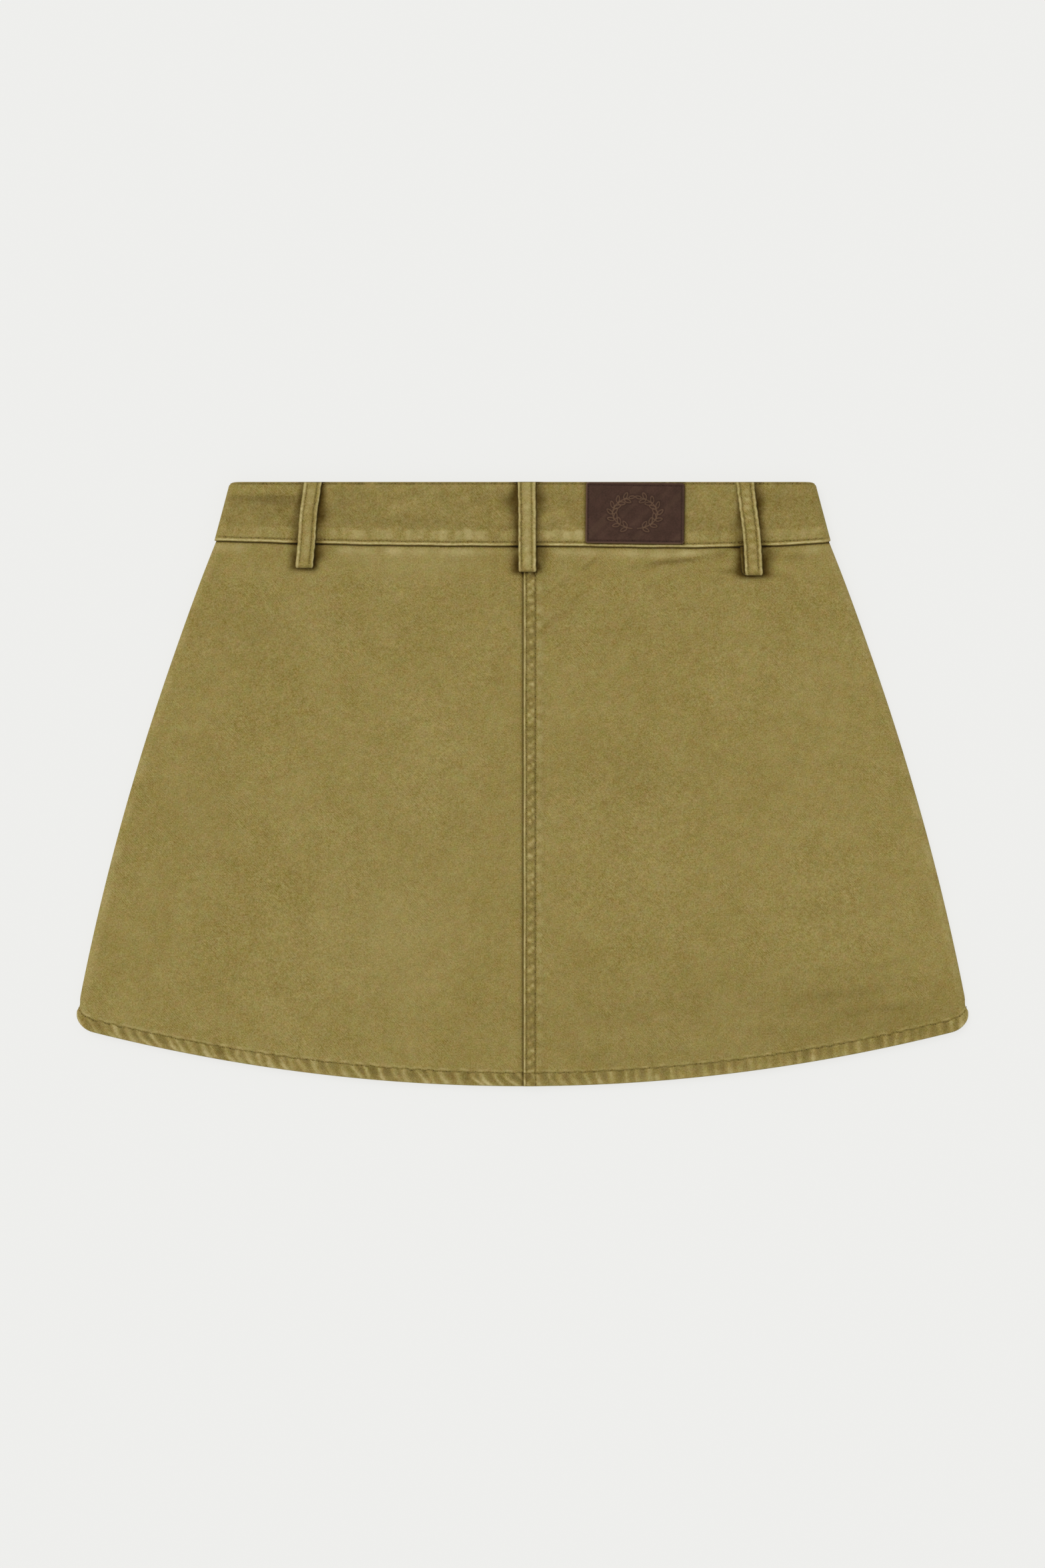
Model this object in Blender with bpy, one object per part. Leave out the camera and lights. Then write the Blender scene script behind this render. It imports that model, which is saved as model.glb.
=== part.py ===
"""Mini skort in washed cotton twill, laid flat on a table with its back upwards.

Frame: +X to the right of someone looking down at the back, +Y towards the waist, +Z up from the table.
The origin is under the middle of the garment, on the table. Depth means the distance below the top edge
of the waistband. The garment is a flattened tube: the back panels lie on top and turn under at the side
folds, the front panels lie on the table, and a pair of plain shorts lies between them.
"""
import math

import bmesh
import bpy
from mathutils import Vector

# Outline, in metres: half widths of the flat garment, and depths below the top edge.
LENGTH = 0.380
WAIST_HALF = 0.1840
SEAM_HALF = 0.1938
HEM_HALF = 0.2806
SIDE_FLARE = 0.402  # how fast the side runs out just below the waistband
BAND_CENTRE = 0.0402
BAND_SIDE = 0.0368
BAND_CORNER = 0.0020
HEM_SAG = 0.0366  # the hem's ends lie this much higher than its middle
HEM_CORNER_WIDTH = 0.0105
HEM_CORNER_RISE = 0.0084
HEM_CORNER_START = 0.024  # the side rows begin to draw up this far above the hem
SIDE_DEPTH = LENGTH - HEM_SAG - HEM_CORNER_RISE

# Walls and gaps.
CLOTH = 0.0010
LEAF = 0.0010  # the waistband's outer fold, which laps over the panels
BAND_WALL = 0.0022
HEM_WALL = 0.0021
LOOP_WALL = 0.0013
SHORTS_WALL = 0.0010
PATCH_WALL = 0.0014
TAB_WALL = 0.0016
SEAM_GAP = 0.0003
STEP = LEAF + SEAM_GAP  # the waistband's face stands this much outside the panels'

# How the layers lie on each other.
BAND_PROP = 0.0023  # the front belt loops and the button hold the waistband this far off the table
BAND_STACK = 0.0080
PANEL_STACK = BAND_STACK - 2 * STEP
SETTLE_START = 0.016  # below the waist seam, where the panels begin to sink to the table
SETTLE_LENGTH = 0.060
BAND_FOLD = 0.0060
PANEL_FOLD = 0.0070
FOLD_EASE = 0.060
TURN_UNDER = 0.0050  # the back panels run on under the side folds to the side seams

# Seams.
SEAM_ALLOWANCE = 0.0080
HEM_DEPTH = 0.0096
LAP_EDGE = 0.0004
LAP_END = 0.0085
LAP_RAMP = 0.0070
BACK_LAP = CLOTH + SEAM_GAP
NEAR_REACH = LAP_END + LAP_RAMP + 0.0015
FRONT_EDGE = 0.0040  # the fly's folded edge lies this far past the middle

# Belt loops: the middle of each at the top edge and at its lower end, the depth of that end, and how
# far sideways the leaf underneath has slipped at the waist seam.
LOOP_WIDTH = 0.0111
LOOP_TOP = 0.0004
LOOP_EASE = 0.0010  # how far a loop bows off the waistband
LOOP_EASED = 0.0070  # how far down it has bowed out
BACK_LOOPS = (
    {"place": "left", "top_x": -0.1314, "end_x": -0.1370, "end": 0.0542, "slip": 0.0},
    {"place": "centre", "top_x": 0.0024, "end_x": 0.0031, "end": 0.0567, "slip": 0.0},
    {"place": "right", "top_x": 0.1395, "end_x": 0.1451, "end": 0.0588, "slip": -0.0013},
)
FRONT_LOOPS = (
    {"place": "left", "top_x": -0.0985, "end_x": -0.1010, "end": 0.0550, "slip": 0.0},
    {"place": "right", "top_x": 0.0985, "end_x": 0.1010, "end": 0.0550, "slip": 0.0},
)

# Leather patch, tack button and the tab behind it.
PATCH_SIZE = (0.0619, 0.0383)
PATCH_MIDDLE = (0.0706, 0.0198)  # x and depth
PATCH_TILT = math.radians(-0.7)
PATCH_CORNER = 0.0016
PATCH_BEVEL = 0.0004
BUTTON_MIDDLE = (-0.0080, 0.0195)
BUTTON_PROFILE = (  # radius and height, from the side against the waistband to the dished face
    {"radius": 0.0070, "z": 0.0020},
    {"radius": 0.0078, "z": 0.0015},
    {"radius": 0.0078, "z": 0.0006},
    {"radius": 0.0072, "z": 0.0},
    {"radius": 0.0060, "z": 0.0},
    {"radius": 0.0052, "z": 0.0006},
)
TAB_ENDS = (-0.0300, 0.0220)
TAB_MARGIN = 0.0015

# Inner shorts.
RISE = 0.2650
SHORTS_LENGTH = 0.3100
SHORTS_SIDE_LENGTH = 0.2950
SHORTS_HEM_HALF = 0.2300
LEG_INNER = 0.0150

# Soft swells where the back lies over air: middle, half widths and height.
SWELLS = (
    {"x": -0.150, "depth": 0.290, "wide": 0.045, "long": 0.060, "high": 0.00045},
    {"x": -0.060, "depth": 0.180, "wide": 0.035, "long": 0.060, "high": 0.00030},
    {"x": 0.075, "depth": 0.235, "wide": 0.040, "long": 0.080, "high": 0.00040},
    {"x": 0.190, "depth": 0.270, "wide": 0.035, "long": 0.050, "high": 0.00045},
    {"x": -0.155, "depth": 0.140, "wide": 0.035, "long": 0.040, "high": 0.00035},
    {"x": 0.130, "depth": 0.120, "wide": 0.035, "long": 0.035, "high": 0.00030},
)

# Where the meshes have their points. Rows are distances below the waist seam at the centre.
HEAD_ROWS = (-1.0, -0.5, 0.0)  # across the seam allowance inside the waistband
SETTLE_ROWS = tuple(SETTLE_START + SETTLE_LENGTH * k / 6 for k in range(7))
BACK_ROWS = (0.004, *SETTLE_ROWS, 0.100, 0.127, 0.154, 0.181, 0.208, 0.235, 0.262, 0.286, 0.309)
FRONT_ROWS = (*SETTLE_ROWS, 0.150, 0.220, 0.290)
SHORTS_CROTCH = RISE - BAND_CENTRE
SHORTS_END = SHORTS_LENGTH - BAND_CENTRE
SHORTS_ROWS = (-SEAM_ALLOWANCE, 0.0, *SETTLE_ROWS, 0.125, 0.175, SHORTS_CROTCH, 0.247, SHORTS_END)
HEM_ROWS = (0.0, 0.04, 0.35, 0.70, 1.0)  # across the turned hem
FOLD_ANGLES = tuple(math.radians(90 - 22.5 * k) for k in range(9))  # from the back round to the table
SPREAD = tuple(k / 9 for k in range(1, 9)) + (0.97,)

MATERIALS = {
    "twill": {"colour": (0.270, 0.212, 0.066), "roughness": 0.92, "metal": 0.0},
    "lining": {"colour": (0.240, 0.195, 0.070), "roughness": 0.90, "metal": 0.0},
    "leather": {"colour": (0.064, 0.037, 0.027), "roughness": 0.60, "metal": 0.0},
    "antique_brass": {"colour": (0.240, 0.160, 0.080), "roughness": 0.40, "metal": 1.0},
}


def smooth(t):
    """0 below 0, 1 above 1, and an even S between."""
    t = min(max(t, 0.0), 1.0)
    return t * t * (3 - 2 * t)


def mix(a, b, t):
    return a + (b - a) * t


def point(x, depth, z):
    return Vector((x, LENGTH / 2 - depth, z))


# ---- The flat outline ----

PANEL_TOP_HALF = SEAM_HALF - STEP
SIDE_SPAN = SIDE_DEPTH - BAND_SIDE
SIDE_CURVE = (SIDE_FLARE - (HEM_HALF - PANEL_TOP_HALF) / SIDE_SPAN) / SIDE_SPAN


def band_half(depth):
    """Half width of the waistband, rounded off at its top corner."""
    corner = min(max((BAND_CORNER - depth) / BAND_CORNER, 0.0), 1.0)
    return mix(WAIST_HALF, SEAM_HALF, depth / BAND_SIDE) - BAND_CORNER * (1 - math.sqrt(1 - corner**2))


def panel_half(depth):
    """Half width of the panels, measured at the side; they start inside the waistband's fold."""
    below = depth - BAND_SIDE
    if below < 0:
        return mix(WAIST_HALF, SEAM_HALF, depth / BAND_SIDE) - STEP
    return PANEL_TOP_HALF + SIDE_FLARE * below - SIDE_CURVE * below**2


def seam_depth(x):
    """Depth of the waistband's lower edge."""
    return BAND_CENTRE - (BAND_CENTRE - BAND_SIDE) * min(abs(x) / SEAM_HALF, 1.0) ** 2


# ---- Heights of the layers over the table ----


def front_face(x, depth):
    """Height of the front panels' outer face, which is their underside here."""
    below = depth - seam_depth(x)
    return (BAND_PROP + STEP) * (1 - smooth((below - SETTLE_START) / SETTLE_LENGTH))


def centre_lap(x):
    """How far the right back panel stands up where it laps over the left one."""
    return BACK_LAP * (1 - smooth((x - LAP_END) / LAP_RAMP))


def back_face(x, depth):
    """Height of the back panels' outer face, without the lap of the centre seam."""
    rise = sum(
        s["high"] * math.exp(-(((x - s["x"]) / s["wide"]) ** 2) - ((depth - s["depth"]) / s["long"]) ** 2)
        for s in SWELLS
    )
    at_side = smooth((abs(x) / panel_half(depth) - 0.75) / 0.17)
    return front_face(x, depth) + PANEL_STACK + rise * (1 - at_side)


def band_lap(x):
    """How far the waistband stands up over the lapped centre seam."""
    if x < LAP_EDGE:
        return BACK_LAP * (1 - smooth((LAP_EDGE - x) / LAP_RAMP))
    return centre_lap(x)


# ---- Meshes ----


def add_part(bm, name, material, parent):
    """Close off a mesh and add it to the garment as a named part."""
    bmesh.ops.recalc_face_normals(bm, faces=bm.faces)
    mesh = bpy.data.meshes.new(name)
    bm.to_mesh(mesh)
    bm.free()
    mesh.shade_smooth()
    mesh.set_sharp_from_angle(angle=math.radians(40))
    mesh.materials.append(material)
    part = bpy.data.objects.new(name, mesh)
    bpy.context.scene.collection.objects.link(part)
    part.parent = parent
    return part


def wall_mesh(outer, inner):
    """A closed wall between two grids of points with the same rows and columns."""
    bm = bmesh.new()
    grids = [[[bm.verts.new(p) for p in line] for line in grid] for grid in (outer, inner)]
    rows, columns = len(outer), len(outer[0])
    for grid in grids:
        for i in range(rows - 1):
            for j in range(columns - 1):
                bm.faces.new((grid[i][j], grid[i][j + 1], grid[i + 1][j + 1], grid[i + 1][j]))
    top, low = grids
    for i in range(rows - 1):
        for j in (0, columns - 1):
            bm.faces.new((top[i][j], top[i + 1][j], low[i + 1][j], low[i][j]))
    for j in range(columns - 1):
        for i in (0, rows - 1):
            bm.faces.new((top[i][j], top[i][j + 1], low[i][j + 1], low[i][j]))
    return bm


def bar_mesh(sections):
    """A closed bar through sections that each have the same number of points."""
    bm = bmesh.new()
    rings = [[bm.verts.new(p) for p in section] for section in sections]
    for a, b in zip(rings, rings[1:]):
        for i in range(len(a)):
            j = (i + 1) % len(a)
            bm.faces.new((a[i], a[j], b[j], b[i]))
    bm.faces.new(rings[0])
    bm.faces.new(list(reversed(rings[-1])))
    return bm


# ---- Skirt panels ----


def panel_rows(body):
    """Rows of a skirt panel from its head inside the waistband to the hem, each with its wall."""
    span = LENGTH - BAND_CENTRE
    rows = []
    for share in HEAD_ROWS:
        up = SEAM_ALLOWANCE * share
        rows.append({"centre": BAND_CENTRE + up, "side": BAND_SIDE + up, "lift": 0.0, "wall": CLOTH})
    hem = [(span - HEM_DEPTH * (1 - share), CLOTH if share == 0.0 else HEM_WALL) for share in HEM_ROWS]
    for below, wall in [(below, CLOTH) for below in body] + hem:
        side = mix(BAND_SIDE, LENGTH - HEM_SAG, below / span)
        lift = HEM_CORNER_RISE * max(0.0, 1 - (span - below) / HEM_CORNER_START)
        rows.append({"centre": BAND_CENTRE + below, "side": side, "lift": lift, "wall": wall})
    for row in rows:
        row["half"] = panel_half(row["side"] - row["lift"])
        row["fold"] = mix(BAND_FOLD - STEP, PANEL_FOLD, smooth((row["side"] - BAND_SIDE) / FOLD_EASE))
        row["reach"] = row["half"] - row["fold"]
    return rows


def row_depth(row, out):
    """Depth of a row at a distance from the middle: a shallow bow, drawn up at the hem's corners."""
    edge = min(max((out - row["half"] + HEM_CORNER_WIDTH) / HEM_CORNER_WIDTH, 0.0), 1.0)
    bow = (row["centre"] - row["side"]) * (out / row["half"]) ** 2
    return row["centre"] - bow - row["lift"] * (1 - math.sqrt(1 - edge**2))


def back_panel(name, side, material, parent):
    """A back panel from the centre seam, over the side fold, to the side seam on the table side."""
    laps_over = side > 0
    if laps_over:
        near = (LAP_EDGE, 0.0045, LAP_END, 0.01025, 0.0120, 0.01375, LAP_END + LAP_RAMP, NEAR_REACH)
    else:
        near = (SEAM_GAP - LAP_END, -0.0040, 0.0, 0.0060, NEAR_REACH)
    outer, inner = [], []
    for row in panel_rows(BACK_ROWS):
        lines = ([], [])
        for x in [side * x for x in near] + [side * mix(NEAR_REACH, row["reach"], s) for s in SPREAD]:
            depth = row_depth(row, abs(x))
            wall = CLOTH if laps_over and x <= LAP_END else row["wall"]
            top = back_face(x, depth) + (centre_lap(x) if laps_over else 0.0)
            for line, inside in zip(lines, (0.0, wall)):
                line.append(point(x, depth, top - inside))
        for angle in FOLD_ANGLES:
            depth = row_depth(row, row["reach"] + row["fold"] * math.cos(angle))
            middle = front_face(side * row["reach"], depth) + PANEL_STACK / 2
            for line, inside in zip(lines, (0.0, row["wall"])):
                x = side * (row["reach"] + (row["fold"] - inside) * math.cos(angle))
                line.append(point(x, depth, middle + (PANEL_STACK / 2 - inside) * math.sin(angle)))
        x = side * (row["reach"] - TURN_UNDER)
        depth = row_depth(row, abs(x))
        for line, inside in zip(lines, (0.0, row["wall"])):
            line.append(point(x, depth, front_face(x, depth) + inside))
        outer.append(lines[0])
        inner.append(lines[1])
    return add_part(wall_mesh(outer, inner), name, material, parent)


def front_panel(name, side, material, parent):
    """A front panel from the fly's edge to the side seam, face down on the table."""
    fly = FRONT_EDGE + (SEAM_GAP if side > 0 else 0.0)
    outer, inner = [], []
    for row in panel_rows(FRONT_ROWS):
        seam = side * (row["reach"] - TURN_UNDER - SEAM_GAP)
        places = [mix(fly, seam, k / 9) for k in range(10)]
        flat = [point(x, row_depth(row, abs(x)), front_face(x, row_depth(row, abs(x)))) for x in places]
        outer.append(flat)
        inner.append([p + Vector((0, 0, row["wall"])) for p in flat])
    return add_part(wall_mesh(outer, inner), name, material, parent)


# ---- Inner shorts ----


def shorts_panel(name, side, level, material, parent):
    """One quarter of the shorts: a flat panel with its crotch and leg hem, at its level in the stack."""
    band_slope = (SEAM_HALF - WAIST_HALF) / BAND_SIDE
    upper, lower = [], []
    for below in SHORTS_ROWS:
        centre = BAND_CENTRE + below
        edge = BAND_SIDE + below * (SHORTS_SIDE_LENGTH - BAND_SIDE) / SHORTS_END
        leg = max(0.0, (below - SHORTS_CROTCH) / (SHORTS_END - SHORTS_CROTCH))
        near = mix(SEAM_GAP / 2, LEG_INNER, leg)
        far = mix(SEAM_HALF - BAND_FOLD - SEAM_GAP, SHORTS_HEM_HALF, max(below, 0.0) / SHORTS_END)
        far += min(below, 0.0) * band_slope
        line = []
        for k in range(9):
            x = side * mix(near, far, k / 8)
            depth = centre - (centre - edge) * (abs(x) / far) ** 2
            line.append(point(x, depth, front_face(x, depth) + level))
        upper.append([p + Vector((0, 0, SHORTS_WALL)) for p in line])
        lower.append(line)
    return add_part(wall_mesh(upper, lower), name, material, parent)


# ---- Waistband ----


def band_section(place):
    """The waistband cut across: a double wall above, and one leaf down over the panels' heads.

    place gives the x and z of a point from its share of the waistband's height and its distance inside.
    """
    step = 1 - (SEAM_ALLOWANCE + SEAM_GAP) / BAND_SIDE
    face = [(share, 0.0) for share in (0.0, 0.02, 0.05, 0.5, step, 1.0)]
    leaf = [(1.0, LEAF), (step, LEAF)]
    wall = [(share, BAND_WALL) for share in (step, 0.5, 0.05, 0.0)]
    section = []
    for share, inside in face + leaf + wall:
        x, z = place(share, inside)
        section.append(point(x, share * seam_depth(x), z))
    return section


def waistband(material, parent):
    """One strip from the fly round the back, with its two ends meeting at the fly."""
    low, high = BAND_PROP, BAND_PROP + BAND_STACK
    middle = BAND_PROP + BAND_STACK / 2

    def reach(share):
        return band_half(share * BAND_SIDE) - BAND_FOLD

    def on_table(side, start, t):
        return band_section(lambda share, inside: (mix(start, side * reach(share), t), low + inside))

    def on_fold(side, angle):
        return band_section(
            lambda share, inside: (
                side * (reach(share) + (BAND_FOLD - inside) * math.cos(angle)),
                middle + (BAND_STACK / 2 - inside) * math.sin(angle),
            )
        )

    def on_back(side, t):
        return band_section(
            lambda share, inside: (side * mix(NEAR_REACH, reach(share), t), high - inside)
        )

    def on_lap(x):
        return band_section(lambda share, inside: (x, high + band_lap(x) - inside))

    rising = [LAP_EDGE - LAP_RAMP * k / 4 for k in range(4, -1, -1)]
    falling = [LAP_END + LAP_RAMP * k / 4 for k in range(5)]
    sections = [on_table(-1, FRONT_EDGE, k / 4) for k in range(4)]
    sections += [on_fold(-1, angle) for angle in reversed(FOLD_ANGLES)]
    sections += [on_back(-1, k / 6) for k in range(5, -1, -1)]
    sections += [on_lap(x) for x in rising + falling]
    sections += [on_back(1, k / 6) for k in range(6)]
    sections += [on_fold(1, angle) for angle in FOLD_ANGLES]
    sections += [on_table(1, FRONT_EDGE + SEAM_GAP, k / 4) for k in range(3, -1, -1)]
    return add_part(bar_mesh(sections), "waistband", material, parent)


def button_tab(material, parent):
    """The waistband's underlap behind the fly, which carries the button."""
    low = BAND_PROP + BAND_WALL + SEAM_GAP
    sections = []
    for k in range(5):
        x = mix(*TAB_ENDS, k / 4)
        end = seam_depth(x) - SEAM_ALLOWANCE - TAB_MARGIN
        corners = ((TAB_MARGIN, low), (end, low), (end, low + TAB_WALL), (TAB_MARGIN, low + TAB_WALL))
        sections.append([point(x, depth, z) for depth, z in corners])
    return add_part(bar_mesh(sections), "button_tab", material, parent)


# ---- Belt loops ----


def loop_path(end, seam):
    """The middle line of a loop down its outer leaf, round the fold and back up to the waist seam.

    Each step is a depth, a height over the panel's face, and the way out through the cloth.
    """
    outer = STEP + LOOP_EASE + LOOP_WALL / 2
    under = SEAM_GAP + LOOP_WALL / 2
    turn = (outer - under) / 2
    foot = end - turn - LOOP_WALL / 2
    steps = []
    for share in (0.0, 0.25, 0.6, 1.0):
        ease = mix(SEAM_GAP, LOOP_EASE, math.sin(share * math.pi / 2))
        steps.append((mix(LOOP_TOP, LOOP_EASED, share), STEP + ease + LOOP_WALL / 2, 90))
    steps += [(mix(LOOP_EASED, foot, share), outer, 90) for share in (0.25, 0.5, 0.75)]
    for angle in (90, 60, 30, 0, -30, -60, -90):
        a = math.radians(angle)
        steps.append((foot + turn * math.cos(a), under + turn + turn * math.sin(a), angle))
    steps.append((seam + SEAM_GAP, under, -90))
    return steps


def belt_loop(layer, up, row, material, parent):
    """A strip of folded twill from the waistband's top edge to a turned-up end below the waist seam."""
    middle = mix(row["top_x"], row["end_x"], 0.7)
    across = Vector((LOOP_WIDTH / 2, 0, 0))
    steps = loop_path(row["end"], seam_depth(middle))
    sections = []
    for depth, height, angle in steps:
        x = mix(row["top_x"], row["end_x"], depth / row["end"])
        if len(sections) == len(steps) - 1:
            x += row["slip"]
        if up > 0:
            z = front_face(middle, depth) + PANEL_STACK + band_lap(middle) + height
        else:
            z = front_face(middle, depth) - height
        a = math.radians(angle)
        out = Vector((0, -math.cos(a), up * math.sin(a))) * LOOP_WALL / 2
        at = point(x, depth, z)
        sections.append([at - across + out, at + across + out, at + across - out, at - across - out])
    return add_part(bar_mesh(sections), f"belt_loop_{layer}_{row['place']}", material, parent)


# ---- Leather patch ----


def patch(material, parent):
    """A flat piece of leather with rounded corners and a worn upper edge."""
    low = BAND_PROP + BAND_STACK + SEAM_GAP
    top = low + PATCH_WALL

    def outline(inset, z):
        ring = []
        for quarter, (sx, sy) in enumerate(((1, 1), (-1, 1), (-1, -1), (1, -1))):
            for k in range(4):
                a = math.radians(90 * quarter + 30 * k)
                x = sx * (PATCH_SIZE[0] / 2 - PATCH_CORNER) + (PATCH_CORNER - inset) * math.cos(a)
                y = sy * (PATCH_SIZE[1] / 2 - PATCH_CORNER) + (PATCH_CORNER - inset) * math.sin(a)
                across = x * math.cos(PATCH_TILT) - y * math.sin(PATCH_TILT)
                up = x * math.sin(PATCH_TILT) + y * math.cos(PATCH_TILT)
                ring.append(point(PATCH_MIDDLE[0] + across, PATCH_MIDDLE[1] - up, z))
        return ring

    sections = [outline(0.0, low), outline(0.0, top - PATCH_BEVEL), outline(PATCH_BEVEL, top)]
    return add_part(bar_mesh(sections), "patch", material, parent)


# ---- Button ----


def button(material, parent):
    """A round metal tack button with a raised rim, face down on the table."""
    turns = [2 * math.pi * k / 24 for k in range(24)]
    middle = point(*BUTTON_MIDDLE, 0.0)
    sections = []
    for ring in BUTTON_PROFILE:
        spokes = [Vector((math.cos(t), math.sin(t), 0.0)) * ring["radius"] for t in turns]
        sections.append([middle + spoke + Vector((0, 0, ring["z"])) for spoke in spokes])
    return add_part(bar_mesh(sections), "button", material, parent)


# ---- The garment ----

for old in list(bpy.data.objects):
    bpy.data.objects.remove(old, do_unlink=True)

materials = {}
for label, look in MATERIALS.items():
    made = bpy.data.materials.new(label)
    made.use_nodes = True
    shader = made.node_tree.nodes["Principled BSDF"]
    shader.inputs["Base Color"].default_value = (*look["colour"], 1.0)
    shader.inputs["Roughness"].default_value = look["roughness"]
    shader.inputs["Metallic"].default_value = look["metal"]
    made.diffuse_color = (*look["colour"], 1.0)
    materials[label] = made

garment = bpy.data.objects.new("mini_skort", None)
bpy.context.scene.collection.objects.link(garment)

shorts_gap = (PANEL_STACK - 2 * CLOTH - 2 * SHORTS_WALL) / 3
shorts_levels = {"front": CLOTH + shorts_gap, "back": CLOTH + 2 * shorts_gap + SHORTS_WALL}
for side_name, side in (("left", -1), ("right", 1)):
    back_panel(f"back_{side_name}", side, materials["twill"], garment)
    front_panel(f"front_{side_name}", side, materials["twill"], garment)
    for layer, level in shorts_levels.items():
        shorts_panel(f"shorts_{layer}_{side_name}", side, level, materials["lining"], garment)

waistband(materials["twill"], garment)
button_tab(materials["twill"], garment)
for loop_row in BACK_LOOPS:
    belt_loop("back", 1, loop_row, materials["twill"], garment)
for loop_row in FRONT_LOOPS:
    belt_loop("front", -1, loop_row, materials["twill"], garment)
patch(materials["leather"], garment)
button(materials["antique_brass"], garment)
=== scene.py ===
"""A mini skort in washed olive cotton twill, laid flat on a pale table with its back up.

Points are in metres: x to the right of someone looking down at the back, y towards the waist, z up.
Depth is the distance below the waistband's top edge. Each point of the cloth carries one value for its
wear and its painted light: above 0 the dye has rubbed off a crest, and near the side folds and just above
the creases a highlight is painted as well; below 0 it is painted shade in grooves, crevices and creases,
and painted shadow beside and under the belt loops.
"""
import math

import bmesh
import bpy
import numpy as np
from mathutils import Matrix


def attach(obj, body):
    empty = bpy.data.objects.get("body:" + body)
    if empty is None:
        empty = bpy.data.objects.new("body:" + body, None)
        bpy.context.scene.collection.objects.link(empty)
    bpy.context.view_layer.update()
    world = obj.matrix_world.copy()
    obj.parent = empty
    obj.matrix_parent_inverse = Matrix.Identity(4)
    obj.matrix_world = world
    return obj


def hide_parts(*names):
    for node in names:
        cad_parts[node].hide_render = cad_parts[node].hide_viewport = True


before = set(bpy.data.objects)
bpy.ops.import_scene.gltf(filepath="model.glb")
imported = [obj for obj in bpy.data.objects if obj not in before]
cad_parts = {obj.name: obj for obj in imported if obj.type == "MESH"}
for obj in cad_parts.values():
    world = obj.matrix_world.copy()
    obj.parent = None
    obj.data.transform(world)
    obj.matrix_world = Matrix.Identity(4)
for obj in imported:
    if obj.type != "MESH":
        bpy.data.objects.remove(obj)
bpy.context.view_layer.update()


# ---- Back panels ----
# Two panels of garment-dyed twill. The right one laps 8 mm over the left at the centre seam and is
# topstitched twice. Each turns under at its side fold, and the hem is turned up twice and stitched once,
# so it has roped in the wash.

LENGTH = 0.380
WAIST_HALF = 0.1840
SEAM_HALF = 0.1938
HEM_HALF = 0.2806
SIDE_FLARE = 0.402
BAND_CENTRE = 0.0402
BAND_SIDE = 0.0368
HEM_SAG = 0.0366
HEM_CORNER_WIDTH = 0.0105
HEM_CORNER_RISE = 0.0084
HEM_CORNER_START = 0.024
SIDE_DEPTH = LENGTH - HEM_SAG - HEM_CORNER_RISE
SPAN = LENGTH - BAND_CENTRE  # from the waist seam to the hem, down the middle

CLOTH = 0.0010
HEM_WALL = 0.0021
SEAM_GAP = 0.0003
STEP = 0.0013  # the waistband's face stands this much outside the panels'
BAND_PROP = 0.0023  # the waistband lies this high above the table
BAND_STACK = 0.0080  # and all its layers are this thick together
PANEL_STACK = BAND_STACK - 2 * STEP
SETTLE_START = 0.016  # the front sinks to the table from here below the seam, over the next length
SETTLE_LENGTH = 0.060
BAND_FOLD = 0.0060
PANEL_FOLD = 0.0070
FOLD_EASE = 0.060
TURN_UNDER = 0.0050
SEAM_ALLOWANCE = 0.0080
HEM_DEPTH = 0.0088
LAP_EDGE = 0.0004  # x of the right panel's folded edge
LAP_END = 0.0085
LAP_RAMP = 0.0070
BACK_LAP = CLOTH + SEAM_GAP
NEAR_REACH = LAP_END + LAP_RAMP + 0.0015
PANEL_TOP_HALF = SEAM_HALF - STEP
SIDE_SPAN = SIDE_DEPTH - BAND_SIDE
SIDE_CURVE = (SIDE_FLARE - (HEM_HALF - PANEL_TOP_HALF) / SIDE_SPAN) / SIDE_SPAN

# Tables of soft spots give x and depth of the middle, half width, half length, and height or tone. These
# are the swells where the back lies over air.
SWELLS = (
    (-0.150, 0.290, 0.045, 0.060, 0.00045),
    (-0.060, 0.180, 0.035, 0.060, 0.00030),
    (0.075, 0.235, 0.040, 0.080, 0.00040),
    (0.190, 0.270, 0.035, 0.050, 0.00045),
    (-0.155, 0.140, 0.035, 0.040, 0.00035),
    (0.130, 0.120, 0.035, 0.035, 0.00030),
)
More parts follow.
